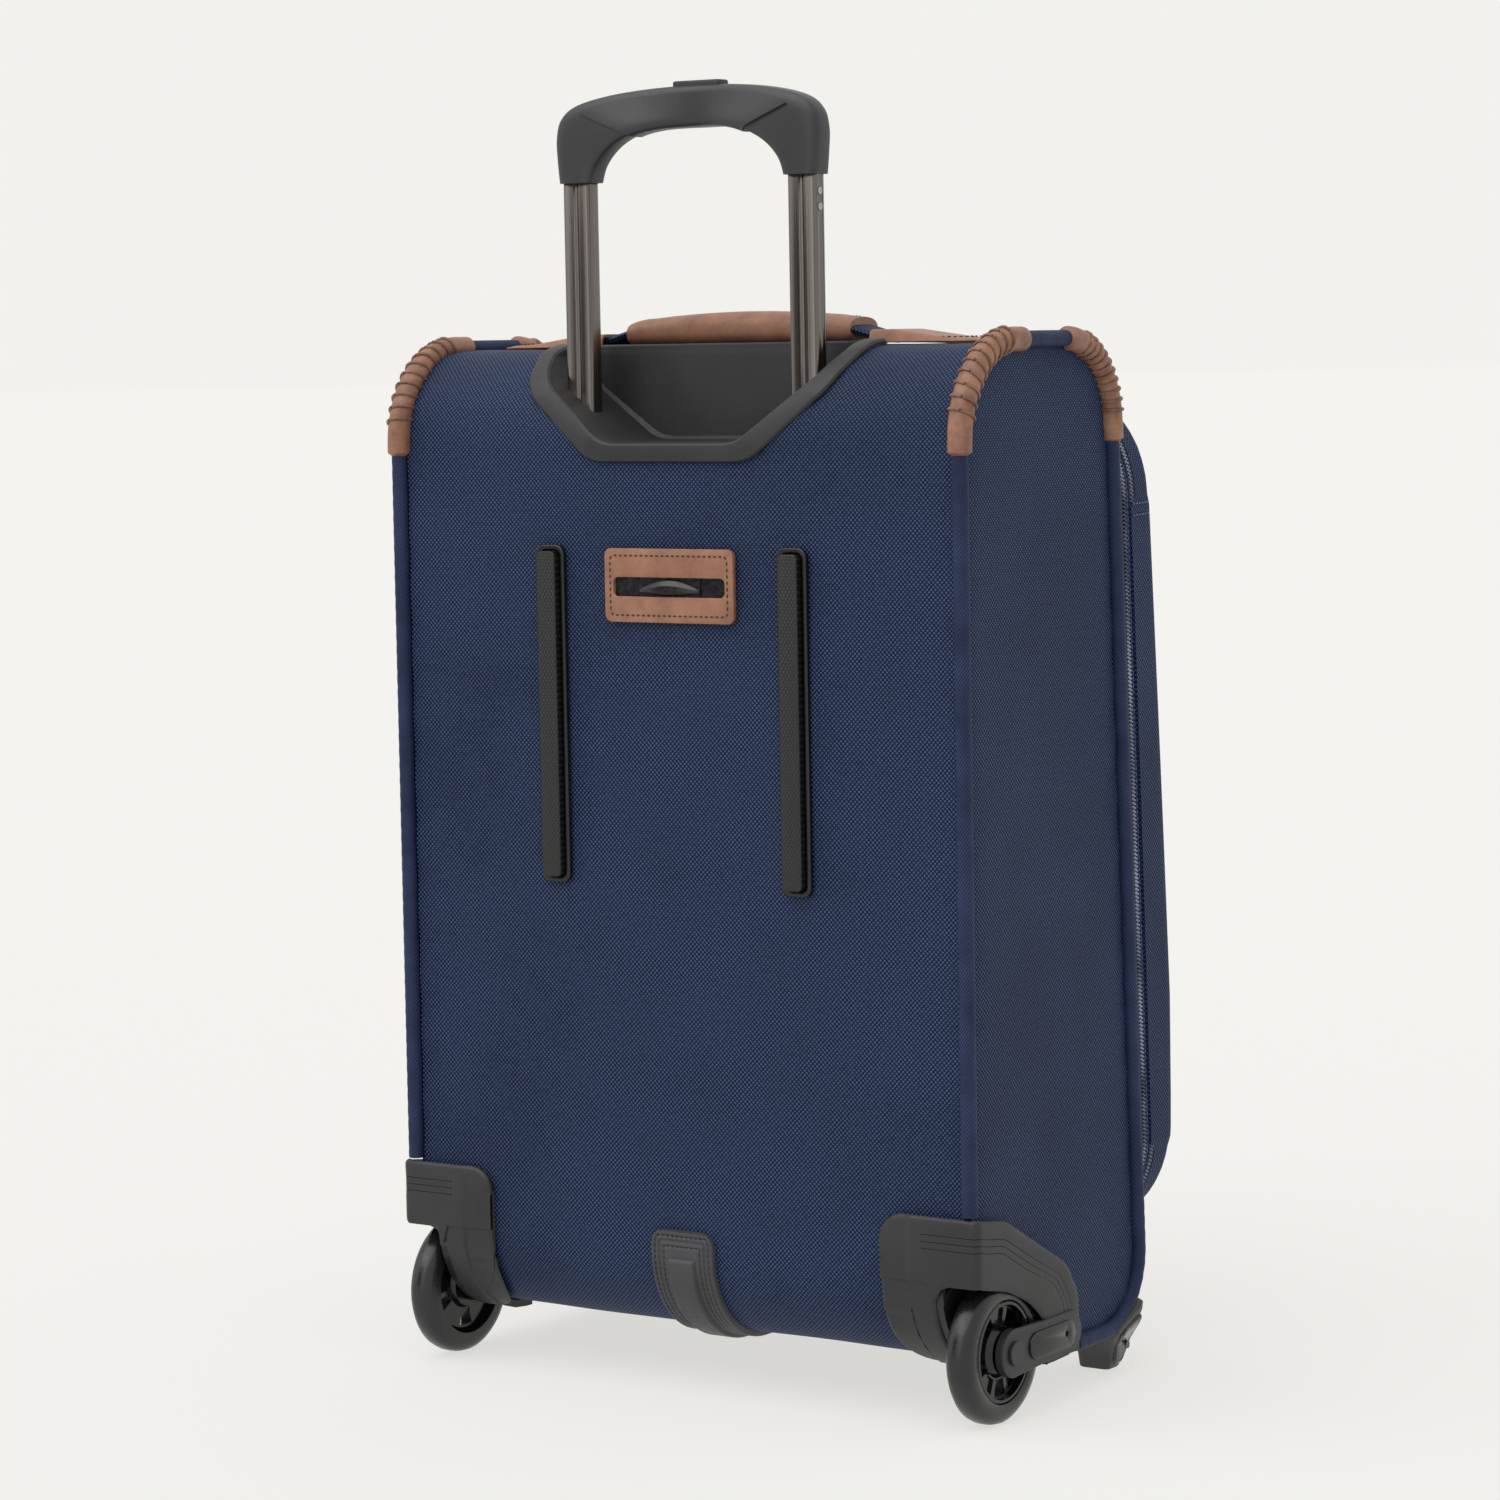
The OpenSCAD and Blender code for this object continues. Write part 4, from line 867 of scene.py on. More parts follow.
def carry_handle(kind, place, crown, ends, body, node):
    """crown and ends are the sleeve's heights off the case at its middle and its ends."""
    half, low = 71, 0.3

    def sleeve_top(x):
        return crown - (crown - ends) * (x / half) ** 2

    def on_sleeve(u, v):
        x = (v - 0.5) * 2 * half
        high = sleeve_top(x)
        flat = min(1, (half - abs(x)) / 5)
        angle = 2 * math.pi * u
        wide = 12.2 + 1.4 * (x / half) ** 4
        y = wide * math.copysign(abs(math.cos(angle)) ** 0.75, math.cos(angle))
        z = (high - low) / 2 * math.copysign(abs(math.sin(angle)) ** 0.8, math.sin(angle))
        z *= 0.93 + 0.07 * math.sqrt(max(flat, 0))
        crease = 0.25 * math.sin(x / 3.1) * math.exp(-((half - abs(x)) / 14) ** 2)
        return place(x, y, (high + low) / 2 + z + crease)

    sleeve = weld(placed_grid(f"{kind}_sleeve", 32, 90, on_sleeve, (60, 2 * half)),
                  fill=True)
    fit(sleeve, body, tan_leather, [node], 60)
    up = place(0, 0, 1) - place(0, 0, 0)
    for end, hand in ((-1, "a"), (1, "b")):
        x = end * 66.5
        high = sleeve_top(x)
        turns = [math.radians(12 + 156 * k / 12) for k in range(13)]
        arc = [place(x, 12.7 * math.cos(a), (high + low) / 2 + (high - low) / 2 * 0.98
                     * math.sin(a) ** 0.8) for a in turns]
        seam = along_run(f"{kind}_sleeve_seam_{hand}", Run(arc), 3.0, (2.2, 0.8, 0.8), 0.0, up)
        fit(seam, body, brown_thread)
    for end, hand in ((-1, "a"), (1, "b")):
        def on_strap(u, v, end=end):
            x, y = end * (62 + 38 * v), 26 * (u - 0.5)
            rise = 4.0 + (ends - 7.0) * math.exp(-((x * end - 62) / 21) ** 2)
            round_edge = 2.2 * abs(2 * u - 1) ** 5
            return place(x, y, rise - round_edge)

        strap = placed_grid(f"{kind}_strap_{hand}", 14, 24, on_strap, (26, 44))
        thicken(strap, 2.4, strap.data.polygons[100], up)
        fit(weld(strap), body, navy_nylon, angle=60)

        def on_tab(u, v, end=end):
            x, y = end * (85 + 67 * v), 36 * (u - 0.5)
            crest = max(2.0, 7.2 * (1 - max(0, x * end - 98) / 54) ** 1.1)
            edge = min(1, (1 - abs(2 * u - 1)) * 4.2)
            tuck = 1 - (1 - min(1, (152 - x * end) / 9)) ** 2
            narrow = 1 - 0.28 * max(0, (x * end - 132) / 20) ** 2
            return place(x, y * narrow, 0.7 + (crest - 0.7) * math.sqrt(max(0, edge * (2 - edge)))
                         * max(tuck, 0.25))

        tab = placed_grid(f"{kind}_tab_{hand}", 28, 44, on_tab, (36, 67))
        thicken(tab, 1.6, tab.data.polygons[600], up)
        fit(weld(tab), "case", tan_leather, ["handle_tabs"], 60)
        for way, edge in ((1, "p"), (-1, "q")):
            line = [place(end * x, way * y, 3.4 - (x - 88) * 0.02)
                    for x, y in ((104, 14.2), (128, 14.2), (145, 10.5))]
            fit(along_run(f"{kind}_tab_seam_{hand}_{edge}", Run(line), 3.2, (2.3, 0.8, 0.8),
                          0.3, up), "case", brown_thread)


carry_handle("top", on_top, 18.0, 14.0, "top_handle", "top_handle")
carry_handle("side", on_right_side, 10.0, 8.6, "side_handle", "side_handle")

# ---- Wheels ----
# Each wheel is a charcoal polyurethane tyre cast round a gloss black hub. The hub has five
# open windows with five blind ones between them, and turns on two small ball bearings.

gloss_black = moulded_plastic("gloss_black_abs", "#0b0b0d", "#101012", 0.14, 3.0, 0.05)
# cast polyurethane: smooth, a little shiny, with faint scuffs from the floor
cast_urethane = moulded_plastic("charcoal_polyurethane", "#141517", "#1e1f21", 0.27, 1.6, 0.03)
tyre_section = [(163.2, 26.9), (163.2, 31.5), (164.0, 34.4), (166.0, 36.6), (168.6, 37.4),
                (171, 37.5), (173.4, 37.4), (176.0, 36.6), (178.0, 34.4), (178.8, 31.5),
                (178.8, 28.2), (178.2, 26.9)]


def wheel_ring(name, section, side, steps):
    """A section, as (x, radius), turned about the axle."""
    ring = section + [section[0]]

    def place(u, v):
        x, radius = ring[round(u * (len(ring) - 1))]
        turn = 2 * math.pi * v
        return (side * x, axle_y + radius * math.cos(turn), axle_z + radius * math.sin(turn))

    return weld(placed_grid(name, len(ring) - 1, steps, place))


def wheel_sector(mean, half_angle, inner, outer, x, steps=5):
    """The outline of a window in the hub, between two radii, about a mean angle."""
    turns = [math.radians(mean - half_angle + 2 * half_angle * k / steps)
             for k in range(steps + 1)]
    edge = [(outer, a) for a in turns] + [(inner, a) for a in turns[::-1]]
    return [(x, axle_y + radius * math.cos(a), axle_z + radius * math.sin(a))
            for radius, a in edge]


for side, hand in ((-1, "left"), (1, "right")):
    tyre = wheel_ring(f"tyre_{hand}_tread", tyre_section, side, 96)
    fit(tyre, f"wheel_{hand}", cast_urethane, [f"tyre_{hand}"], 35)
    hub_section = [(164.6, 4.6), (164.6, 12), (167.4, 13.4), (167.4, 24.2), (165, 26.9),
                   (177.4, 26.9), (178.2, 25.8), (178.2, 24.4), (174.6, 23.6), (174.6, 13.6),
                   (177.6, 11.6), (177.6, 4.6)]
    hub = wheel_ring(f"hub_{hand}_disc", hub_section, side, 80)
    for k in range(10):
        mean = 36 * k + 18
        if k % 2:
            window = wheel_sector(mean, 13.5, 14.2, 23.0, side * 160)
            cut_away(hub, outline_block("window_cutter", window, (side * 25, 0, 0)))
        else:
            window = wheel_sector(mean, 13.0, 14.6, 22.6, side * 173.2)
            cut_away(hub, outline_block("blind_cutter", window, (side * 6, 0, 0)))
    round_edges(hub, 0.35, angle=40)
    fit(hub, f"wheel_{hand}", gloss_black, [f"hub_{hand}"], 35)

# ---- Wheel housings ----
# A charcoal nylon moulding wraps each lower rear corner. Its arm reaches back over the
# wheel and carries the outer end of the axle, with a gloss plate set into the arm.

charcoal = moulded_plastic("charcoal_moulded_nylon", "#1d1d1f", "#262629", 0.48, 1.0, 0.6)
for side, hand in ((-1, "left"), (1, "right")):
    housing = rounded_copy(f"wheel_housing_{hand}", f"wheel_housing_{hand}_shell", 0.001, 1)
    upper = ([(side * 121, 96), (side * 121, 114), (side * 137, 114)]
             + [(side * x, z) for x, z in arc_points((137, 97), 13.1, 90, 180, 6)])
    cut_away(housing, back_block("corner_cutter", 98, upper, 20))
    lower = ([(side * 121, 15), (side * 121, 66)]
             + [(side * x, z) for x, z in arc_points((154, 66), 30.1, 180, 242, 7)]
             + [(side * 139.9, 15)])
    cut_away(housing, back_block("foot_cutter", 40, lower, 80))
    beyond = arc_points((57, 76), 51, -90, 0, 14) + [(112, 76), (112, 0), (57, 0)]
    cut_away(housing, side_block("wall_cutter", side * 161.5, beyond, side * -20.5))
    # its rear and outer faces are moved in, to lie under the grooved skin made below
    for corner in housing.data.vertices:
        if corner.co.y > 0.1084:
            corner.co.y = 0.1068
        if 0.1802 < abs(corner.co.x) < 0.1815:
            corner.co.x = side * 0.1795
    fit(housing, "case", charcoal, [f"wheel_housing_{hand}"], 35)

    # the outer skin: one band from the rear plate round the corner and along the side, then
    # a flap that follows the case's lower edge inside the wheel
    skin_x = [124, 124.8, 126.5, 129, 133, 137, 140.5, 142, 143.5, 146, 149, 150.5, 153, 156]
    path = ([(x, 109.5) for x in skin_x + [160, 165, 170, 175, 178.6]]
            + [(178.6 + 3.4 * math.sin(math.radians(a)), 106.1 + 3.4 * math.cos(math.radians(a)))
               for a in (22, 45, 68)] + [(182, 106.1)])
    top_side = Run([(0, y, z) for y, z in eased_line(
        [(106.1, 109.6), (80.6, 105.7), (20.4, 73.7), (9.0, 57), (8.2, 48), (8.2, 26)], 5)])
    low_side = Run([(0, y, z) for y, z in eased_line(
        [(106.1, 75.6), (79.5, 70), (60, 61.5), (47, 52), (42.4, 44.8), (40.5, 27)], 5)])
    stations = []
    for x, y in path:
        inset = max(0, 137 - x)
        high = 110 - (13 - math.sqrt(max(0, 169 - inset * inset)))
        notch = min(1, max(0, (166 - x) / 10)) if x >= 156 else 0
        low = 76 - 9 * (1 - math.sqrt(1 - notch * notch)) if x >= 156 else 77
        stations.append((Vector((x, y, high)), Vector((x, y, low)),
                         Vector((0, 1, 0)) if y > 109 else Vector((x - 178.6, y - 106.1, 0))))
    for k in range(1, 60):
        a, b = top_side.at(k / 59), low_side.at(k / 59)
        stations.append((Vector((182, a.y, a.z)), Vector((182, b.y, b.z)), Vector((1, 0, 0))))
    depths = [0, 0.5, 1.2, 4, 7.8, 7.9, 9.1, 9.2, 11.4, 11.5, 12.7, 12.8, 15.0, 15.1,
              16.3, 16.4, 19, 0.6, 0.7, 0.8, 0.9, 0.965, 1.0]

    def on_skin(u, v, side=side):
        high, low, away = stations[round(u * (len(stations) - 1))]
        depth = depths[round(v * (len(depths) - 1))]
        drop = low - high
        share = depth if v * (len(depths) - 1) > 16.5 else depth / drop.length
        share = min(share, 1) if v * (len(depths) - 1) > 16.5 else min(share, 0.58)
        spot = high + drop * share
        sunk = 1.2 if share * drop.length < 0.2 else 0.35 if share * drop.length < 0.8 else 0
        if low.x >= 156:
            sunk += 0.9 if share > 0.99 else 0.2 if share > 0.96 else 0
        if spot.x > 149.5:
            for line in (8.5, 12.1, 15.7):
                sunk += 1.7 if abs(depth - line) < 0.65 else 0
        if spot.y > 109 and spot.x < 142:
            sunk += 0.9
        spot = spot - away.normalized() * sunk
        return (side * spot.x, spot.y, spot.z)

    skin = placed_grid(f"housing_skin_{hand}", len(stations) - 1, len(depths) - 1, on_skin)
    thicken(skin, 0.8, skin.data.polygons[60], (0, 1, 0))
    fit(weld(skin), "case", charcoal, angle=38)
    under = Run([(0, 109.5, 77)] + [(0, y, z) for y, z in arc_points((57, 76), 52.5, 0, -66)])

    def on_flap(u, v, side=side):
        spot = under.at(v)
        curl = max(0, v - 0.42) / 0.58
        left = 124 + 17 * (1 - math.sqrt(max(0, 1 - curl * curl)))
        right = 156 + 2.5 * (1 - v) ** 12
        x = left + (right - left) * u
        away = Vector((0, spot.y - 57, spot.z - 76)).normalized() if spot.z < 76 else Vector(
            (0, 1, 0))
        rim = min(u, 1 - u, (1 - v) * 1.6)
        sunk = 1.0 if rim < 0.004 else 0.3 if rim < 0.03 else 0
        sunk += 0.9 if x < 142 else 0
        spot = spot - away * sunk
        return (side * x, spot.y, spot.z)

    flap = placed_grid(f"housing_flap_{hand}", 36, 44, on_flap)
    thicken(flap, 1.6, flap.data.polygons[60], (0, 1, 0))
    fit(weld(flap), "case", charcoal, angle=38)

    arm = (arc_points((axle_y, axle_z), 12.6, -90, 90, 12)
           + arc_points((18, axle_z), 9.8, 90, 270, 10))
    arm_block = side_block(f"axle_arm_{hand}", side * 181.6, arm, side * 2.6)
    round_edges(arm_block, 1.1, 3)
    fit(arm_block, "case", charcoal, angle=40)
    pill = (arc_points((56, axle_z), 7.2, -90, 90, 10)
            + arc_points((24, axle_z), 7.2, 90, 270, 10))
    plate = side_block(f"arm_plate_{hand}", side * 183.4, pill, side * 2.0)
    cut_away(plate, side_block("hole_cutter", side * 184, arc_points((26, 38), 1.5, 0, 330, 11),
                               side * 4))
    round_edges(plate, 0.5)
    fit(plate, "case", gloss_black, ["arm_plates"], 40)

# ---- Expansion gusset and zips ----
# A gusset of nylon stands forward of the case round the lid. Two nylon coil zips run round
# it: one lets the case grow, the main one opens the lid. Tapes are sewn down both sides.

lid_half = 175.0


def ring_run(inset, depth):
    """The lid's outline, drawn in by inset and set forward of the case by depth, in mm."""
    return Run([in_front(x, up, depth) for x, up in
                rounded_outline(lid_half - inset, -4 + inset, 464 - inset, 62 - inset, 12)], True)


front_out = Vector((0, -math.cos(lean), math.sin(lean)))


def ring_band(name, depths, insets, steps=360, wave=0.0):
    """A band round the lid's outline: depths forward of the case, insets from the outline."""
    runs = [ring_run(inset, depth) for inset, depth in zip(insets, depths)]

    def place(u, v):
        k = round(u * (len(runs) - 1))
        spot = runs[k].at(v)
        if wave and 0 < k < len(runs) - 1:
            ahead = runs[k].heading(v)
            spot = spot + ahead.cross(front_out) * wave * rumple(v * runs[k].length, k * 9, 21)
        return spot

    band = placed_grid(name, len(runs) - 1, steps, place,
                       (abs(depths[-1] - depths[0]), runs[0].length))
    weld(band)
    middle = band.data.polygons[len(band.data.polygons) // 2]
    away = Vector(middle.center) - Vector(in_front(0, 230, depths[0])) * 0.001
    return thicken(band, 1.1, middle, away)


zip_cloth = binding_cloth("navy_zip_tape", "#0a122a", "#33426b")
fit(ring_band("gusset_cloth", [-14, -6, 0, 3, 6, 8.2, 9.0], [1.0, 0.8, 0.2, -0.5, -0.4, 0.2, 1.2],
              420, 0.25), "case", navy_nylon, ["expansion_gusset"])
fit(ring_band("expansion_tape", [9.0, 9.4, 12.0, 12.6, 15.4, 16.0, 18.6, 19.0],
              [1.0, 0.1, -0.1, 0.9, 0.9, -0.1, 0.1, 1.0]), "case", zip_cloth,
    ["expansion_zip"], 50)
fit(ring_band("main_tape_case_side", [19.1, 19.4, 20.6, 21.3, 21.9], [1.0, 0.0, -0.1, 0.7, 0.9]),
    "case", zip_cloth, ["main_zip_case_side"], 50)
fit(ring_band("main_tape_lid_side", [22.4, 23.0, 23.8, 25.6, 26.0], [0.9, 0.7, -0.1, 0.0, 1.0]),
    "lid", zip_cloth, ["main_zip_lid_side"], 50)
# extruded nylon coil: hard, smooth and slightly shiny, dark blue-grey; its pale grey patches are
# painted glints
coil_nylon_painted_glints = moulded_plastic("nylon_zip_coil_painted_glints", "#2b3040", "#9aa2b4", 0.2, 2.0, 0.1)
blue_thread = sewing_thread("navy_thread", "#42548a")


def ring_stitches(name, depth, inset, pitch, size, body, finish, shift=0.0):
    """Stitches, or a coil's turns, round the lid's outline, moved on by a share of it."""
    ring, middle = ring_run(inset, depth), Vector(in_front(0, 230, depth))
    run = Run([ring.at((k / 720 + shift) % 1) for k in range(720)], True)

    def outwards(share):
        away = run.heading(share).cross(front_out)
        return away if away.dot(run.at(share) - middle) > 0 else -away

    fit(along_run(name, run, pitch, size, 0.0, outwards), body, finish)


for name, depth, inset, turn, body, shift in (
        ("expansion_coil_a", 13.3, 0.4, (1.35, 2.7, 2.6), "case", 0.0),
        ("expansion_coil_b", 14.7, 0.4, (1.35, 2.7, 2.6), "case", 0.0006),
        ("main_coil_case_side", 21.6, 0.3, (1.35, 2.0, 2.4), "case", 0.0),
        ("main_coil_lid_side", 22.9, 0.3, (1.35, 1.8, 2.4), "lid", 0.0006)):
    ring_stitches(name, depth, inset, 2.1, turn, body, coil_nylon_painted_glints, shift)
for name, depth, inset in (("gusset_stitching", 7.0, -0.2), ("tape_stitching", 17.4, -0.15)):
    ring_stitches(name, depth, inset, 3.4, (2.4, 0.6, 0.6), "case", blue_thread)

# ---- Lid ----
# The lid is a tray of nylon over board, fuller at its foot, with a large pocket panel and a
# slim one above it. Each has its own zip and a double row of stitching.

lid_front = Run([(d, 0, up) for d, up in (
    [(26, -4)] + [(26 + 20 * math.sin(math.radians(a)), 28 - 32 * math.cos(math.radians(a)))
                  for a in range(15, 91, 15)] + [(48.8, 75), (51, 130)]
    + [(26 + 19 * math.cos(math.radians(a)), 428 + 36 * math.sin(math.radians(a)))
       for a in range(0, 91, 15)])])


def lid_depth(up):
    """How far the lid stands forward at a height up the front."""
    points = [(p.z, p.x) for p in lid_front.points]
    for (z0, d0), (z1, d1) in zip(points, points[1:]):
        if z0 <= up <= z1:
            return d0 + (d1 - d0) * (up - z0) / max(z1 - z0, 1e-6)
    return points[0][1] if up < points[0][0] else points[-1][1]


lid_rim = Run([(x, 0, up) for x, up in rounded_outline(lid_half, -4, 464, 62, 12)], True)


def lid_skin(under):
    """Places the lid's skin, this far under its outer face, from the zip to its middle."""
    def place(u, v):
        k, rim = u * 34, lid_rim.at(v)
        out = Vector((rim.x, 0, rim.z - 230)).normalized()
        bellows = max(0, min(1, (399 - rim.z) / 3, (rim.z - 49) / 3)) if not under else 0
        rim = rim + out * (1.3 * bellows - under)
        front = max(lid_depth(rim.z), 27) - under
        if k <= 6:
            start = 26.3 - 6.5 * bellows
            return in_front(rim.x, rim.z, start + (front - 6 - start) * k / 6)
        inward = 1 - (1 - (k - 6) / 28) ** 1.6
        spot = rim.lerp(Vector((0, 0, min(max(rim.z, 60), 400))), inward)
        gap = (rim - spot).length
        drop = 6 * (1 - math.sqrt(max(0, 1 - (1 - min(gap / 7, 1)) ** 2)))
        swell = 0.6 * rumple(spot.x, spot.z, 33) * min(1, gap / 30) if not under else -0.4
        return in_front(spot.x, spot.z, max(lid_depth(spot.z), 27) - under - drop + swell)

    return place


lid_cloth = weld(placed_grid("lid_cloth", 34, 480, lid_skin(0)))
lid_shell = weld(placed_grid("lid_board_shell", 34, 240, lid_skin(2.2)))


def cloth_map(piece):
    """Lays the weave flat on each side of a piece, at its real size."""
    edit_all(piece)
    bpy.ops.uv.cube_project(cube_size=1.0, correct_aspect=False, scale_to_bounds=False)
    bpy.ops.object.mode_set(mode="OBJECT")
    return piece


for skin, thickness in ((lid_cloth, 1.4), (lid_shell, 1.6)):
    thicken(skin, thickness, max(skin.data.polygons, key=lambda face: face.area), (0, -1, 0))
fit(cloth_map(lid_cloth), "lid", navy_nylon, ["lid_fabric"], 60)
grey_board = moulded_plastic("grey_fibre_board", "#4a4a49", "#565654", 0.85, 1.5, 0.6)
fit(lid_shell, "lid", grey_board, ["lid_board"], 60)
for side in (-1, 1):
    for up in (390.5, 396.5):
        seam = Run([in_front(side * (lid_half + 1.5), up, d) for d in (20.5, 30, 39)])
        fit(along_run("bellows_stitching", seam, 3.0, (2.2, 0.8, 0.8), 0.0, (side, 0, 0)),
            "lid", blue_thread)


def pocket_panel(name, half, low, high, radius, proud, node, fullness):
    """A padded panel on the lid's face, proud of it at its edge and fuller in its middle."""
    rim = Run([(x, 0, up) for x, up in rounded_outline(half, low, high, radius, 8)], True)

    def place(u, v):
        edge = rim.at(v)
        centre = Vector((0, 0, min(max(edge.z, low + half * 0.35), high - half * 0.35)
                         if high - low > half else (low + high) / 2))
        k = u * 26
        if k <= 3:
            spot, rise = edge, proud * (k / 3) - 0.6
        else:
            inward = 1 - (1 - (k - 3) / 23) ** 1.5
            spot = edge.lerp(centre, inward)
            gap = (edge - spot).length
            rise = proud - 0.6 + fullness * (1 - math.exp(-gap / 40))
            rise += 0.5 * rumple(spot.x, spot.z + half, 27) * min(1, gap / 25)
            rise -= 0.55 * math.exp(-((gap - 3.2) / 1.1) ** 2)
            rise -= 0.55 * math.exp(-((gap - 8.4) / 1.1) ** 2)
            rise += 0.25 * math.sin(v * rim.length / 4.5) * math.exp(-(gap / 14) ** 2)
        return in_front(spot.x, spot.z, max(lid_depth(spot.z), 27) + rise)

    panel = placed_grid(name, 26, 260, place)
    weld(panel)
    thicken(panel, 1.2, max(panel.data.polygons, key=lambda face: face.area), (0, -1, 0))
    fit(cloth_map(panel), "lid", navy_nylon, [node], 60)
    for inset, row in ((3.2, "a"), (8.4, "b")):
        line = [in_front(x, up, max(lid_depth(up), 27) + proud - 0.5) for x, up in
                rounded_outline(half - inset, low + inset, high - inset,
                                max(radius - inset, 3), 8)]
        fit(along_run(f"{name}_stitching_{row}", Run(line, True), 3.4, (2.4, 0.7, 0.7), 0.1,
                      front_out), "lid", blue_thread)


pocket_panel("lower_pocket_panel", 152, 49, 399, 22, 3.0, "lower_pocket", 1.6)
pocket_panel("upper_pocket_panel", 126, 402, 442, 12, 1.6, "upper_pocket", 0.6)

# ---- Scuff guard ----
# A moulded rubber skid wraps under the rear lower edge between the wheels, with a centre
# rib and three moulded lines that copy stitching.

guard_run = Run([(0, 105, 88)] + [(0, y, z) for y, z in arc_points((57, 76), 48, 0, -90, 16)]
                + [(0, 28, 28)])


def on_guard(u, v):
    along = v * guard_run.length
    half = 20 - (8 - math.sqrt(max(0, 64 - max(0, 8 - along) ** 2)))
    x = (2 * u - 1) * half
    gap = min(half - abs(x), along, guard_run.length - along)
    rise = 3.0 * math.sqrt(max(0, 1 - (1 - min(gap / 1.3, 1)) ** 2))
    dash = 0.72 + 0.28 * math.cos(2 * math.pi * (along if half - abs(x) < along else x) / 3.0)
    for line in (3.0, 5.8, 8.6):
        rise -= 1.1 * dash * math.exp(-((gap - line) / 0.55) ** 4)
    rib = min(8.2 - abs(x), along - 15)
    rise += 2.0 * math.sqrt(max(0, 1 - (1 - min(max(rib, 0) / 1.4, 1)) ** 2))
    ahead = guard_run.heading(v)
    return guard_run.at(v) + Vector((x, 0, 0)) + Vector((0, -ahead.z, ahead.y)) * (rise - 0.2)


# moulded rubber, greyer and duller than the plastic
guard_rubber = moulded_plastic("charcoal_rubber", "#2c2c2f", "#3a3a3e", 0.5, 4.0, 0.5)
guard = placed_grid("scuff_guard_skin", 104, 150, on_guard)
thicken(guard, 1.0, guard.data.polygons[20], (0, 1, 0))
fit(weld(guard), "case", guard_rubber, ["scuff_guard"], 45)

# ---- Front feet ----
# Two hollow plastic feet flare out under the front corners, each with a gloss shield plate
# held by one screw on its outer face.

# each ring is its middle x and half width, its middle y and half depth, its height and slope
foot_rings = [(155, 8.6, -60.5, 5.6, 0, 0), (155.2, 9.4, -60.5, 6.4, 0.9, 0),
              (156.8, 10.2, -59.6, 8.6, 6, 0.02), (159.6, 11.4, -57.4, 11.6, 13, 0.1),
              (164, 12.6, -54, 14, 19, 0.22), (167.4, 13.4, -51, 15.6, 24.5, 0.34),
              (167.8, 13.4, -50.6, 15.8, 26.5, 0.38), (167.6, 12.6, -50.6, 15, 27.5, 0.38),
              (165, 9, -50.4, 12, 32, 0.4), (162, 8, -48, 10, 48, 0)]


def foot_side(z):
    """How far out the foot's outer face stands at a height."""
    for low, high in zip(foot_rings, foot_rings[1:]):
        if low[4] <= z <= high[4]:
            share = (z - low[4]) / (high[4] - low[4])
            return (low[0] + low[1]) * (1 - share) + (high[0] + high[1]) * share
    return 180


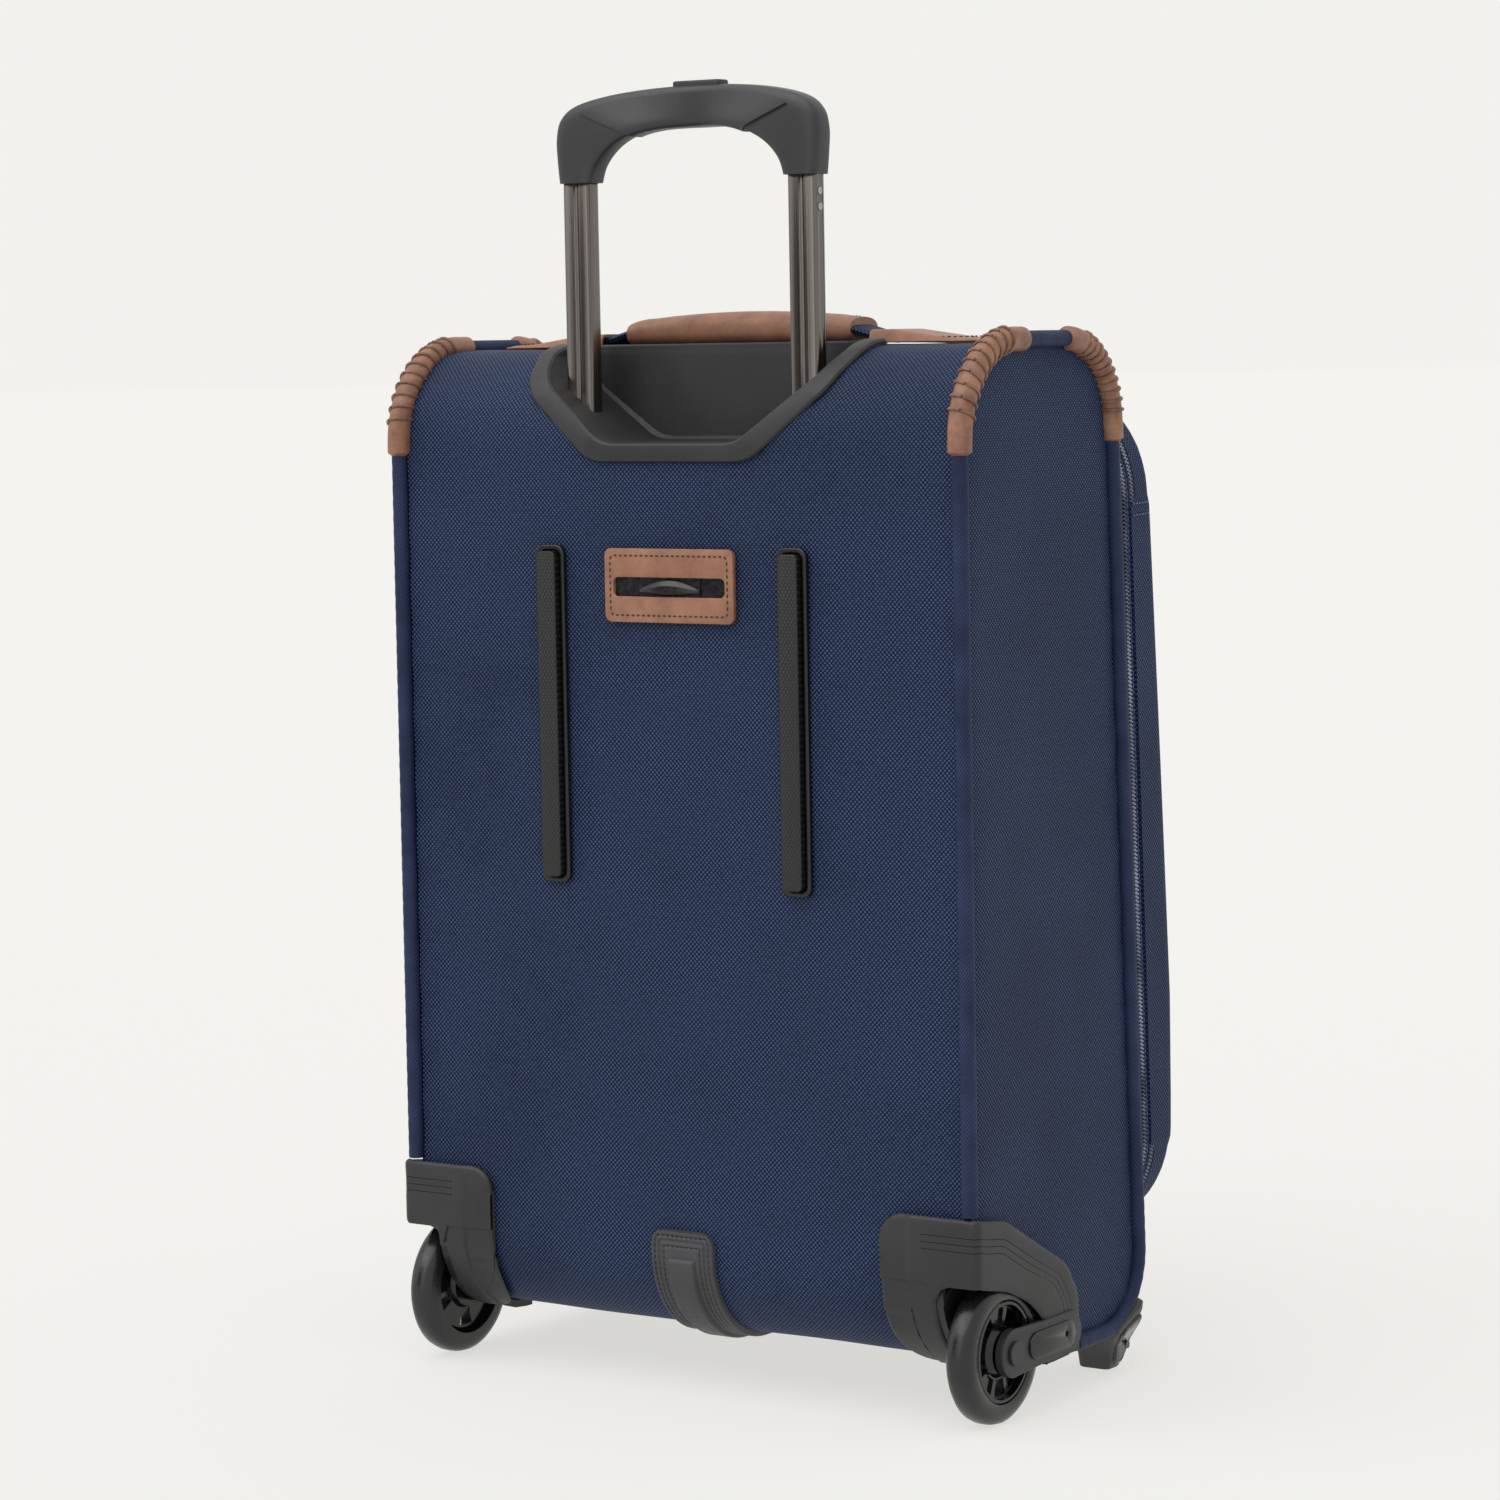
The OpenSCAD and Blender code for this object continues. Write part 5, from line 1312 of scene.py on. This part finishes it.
for side, hand in ((-1, "left"), (1, "right")):
    def on_foot(u, v, side=side):
        cx, hx, cy, hy, z, slope = foot_rings[round(v * (len(foot_rings) - 1))]
        c, s = math.cos(2 * math.pi * u), math.sin(2 * math.pi * u)
        bulge = (abs(c) ** 7 + abs(s) ** 7) ** (-1 / 7)
        y = cy + hy * s * bulge
        return (side * (cx + hx * c * bulge), y, z + slope * (-36 - y))

    foot = weld(placed_grid(f"front_foot_{hand}", 64, len(foot_rings) - 1, on_foot), fill=True)
    fit(foot, "case", charcoal, ["front_feet"], 40)

    def on_shield(u, v, side=side):
        z = 3.5 + 19.5 * v
        half = (3.6 + 7.2 * v) * (1 - 0.25 * max(0, v - 0.9) / 0.1 - 0.4 * max(0, 0.1 - v) / 0.1)
        rim = min(u * 2 * half, (1 - u) * 2 * half, v * 20, (1 - v) * 20)
        sunk = 1.0 if rim < 0.01 else 0.25 if rim < 0.5 else 0.0
        if 1.4 < rim < 2.0:
            sunk += 0.35
        y = -60.6 + 7.2 * v + (2 * u - 1) * half
        return (side * (foot_side(z) + 0.8 - sunk), y, z + 0.3 * v * (-36 - y))

    shield = placed_grid(f"foot_shield_{hand}", 40, 48, on_shield)
    modify(shield, "SOLIDIFY", thickness=0.0009, offset=1 if side > 0 else -1)
    fit(weld(shield), "case", gloss_black, ["foot_plates"], 40)
    screw = side_block(f"foot_screw_{hand}", side * (foot_side(14) + 0.5),
                       arc_points((-59.7, 14), 2.1, 0, 337, 15), side * 0.9)
    fit(screw, "case", dark_gunmetal, ["foot_screws"], 40)

# ---- Inside parts and fixings ----
# Boards, lining, straps, brackets, fixings and the main zip's sliders keep their CAD shapes
# and get their own finishes. The expansion zip's slider and pull are small castings.

steel = drawn_metal("zinc_plated_steel", "#8d8f92", "#b5b7b9", 0.3)
zip_metal = drawn_metal("gunmetal_zinc", "#55565a", "#84868a", 0.3)
webbing = binding_cloth("black_webbing", "#141416", "#33343a")
lining = binding_cloth("grey_lining_cloth", "#5a5c60", "#8a8c90")

for node, finish in (("back_board", grey_board), ("top_frame", grey_board),
                     ("side_boards", grey_board), ("bottom_tray", cup_plastic),
                     ("tube_brackets", charcoal), ("lining_back", lining),
                     ("tie_straps", webbing), ("tie_buckle", gloss_black),
                     ("wheel_axles", charcoal), ("wheel_bearings_left", steel),
                     ("wheel_bearings_right", steel), ("tube_rivets", steel),
                     ("lock_plugs", cup_plastic), ("release_rods", steel),
                     ("pocket_zips", webbing), ("lid_mesh_pocket", lining),
                     ("zip_slider_left", zip_metal), ("zip_slider_right", zip_metal),
                     ("zip_pull_left", zip_metal), ("zip_pull_right", zip_metal),
                     ("pocket_slider", zip_metal)):
    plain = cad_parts[node]
    plain.data.materials.clear()
    plain.data.materials.append(finish)

# the expansion zip's slider and its long pull stand on the right side of the gusset
for name, (x0, up0, d0), (x1, up1, d1) in (
        ("expansion_slider", (175.2, 298, 10.5), (178.6, 312, 17.5)),
        ("expansion_pull", (178.2, 276, 12.2), (179.6, 306, 15.8))):
    outline = [in_front(x0, up, d) for up, d in
               [(up0 + 1.5, d0), (up1 - 1.5, d0), (up1, d0 + 1.2), (up1, d1 - 1.2),
                (up1 - 1.5, d1), (up0 + 1.5, d1), (up0, d1 - 1.2), (up0, d0 + 1.2)]]
    part = outline_block(f"{name}_cast", outline, (x1 - x0, 0, 0))
    round_edges(part, 0.4)
    fit(part, name, zip_metal, [name], 40)
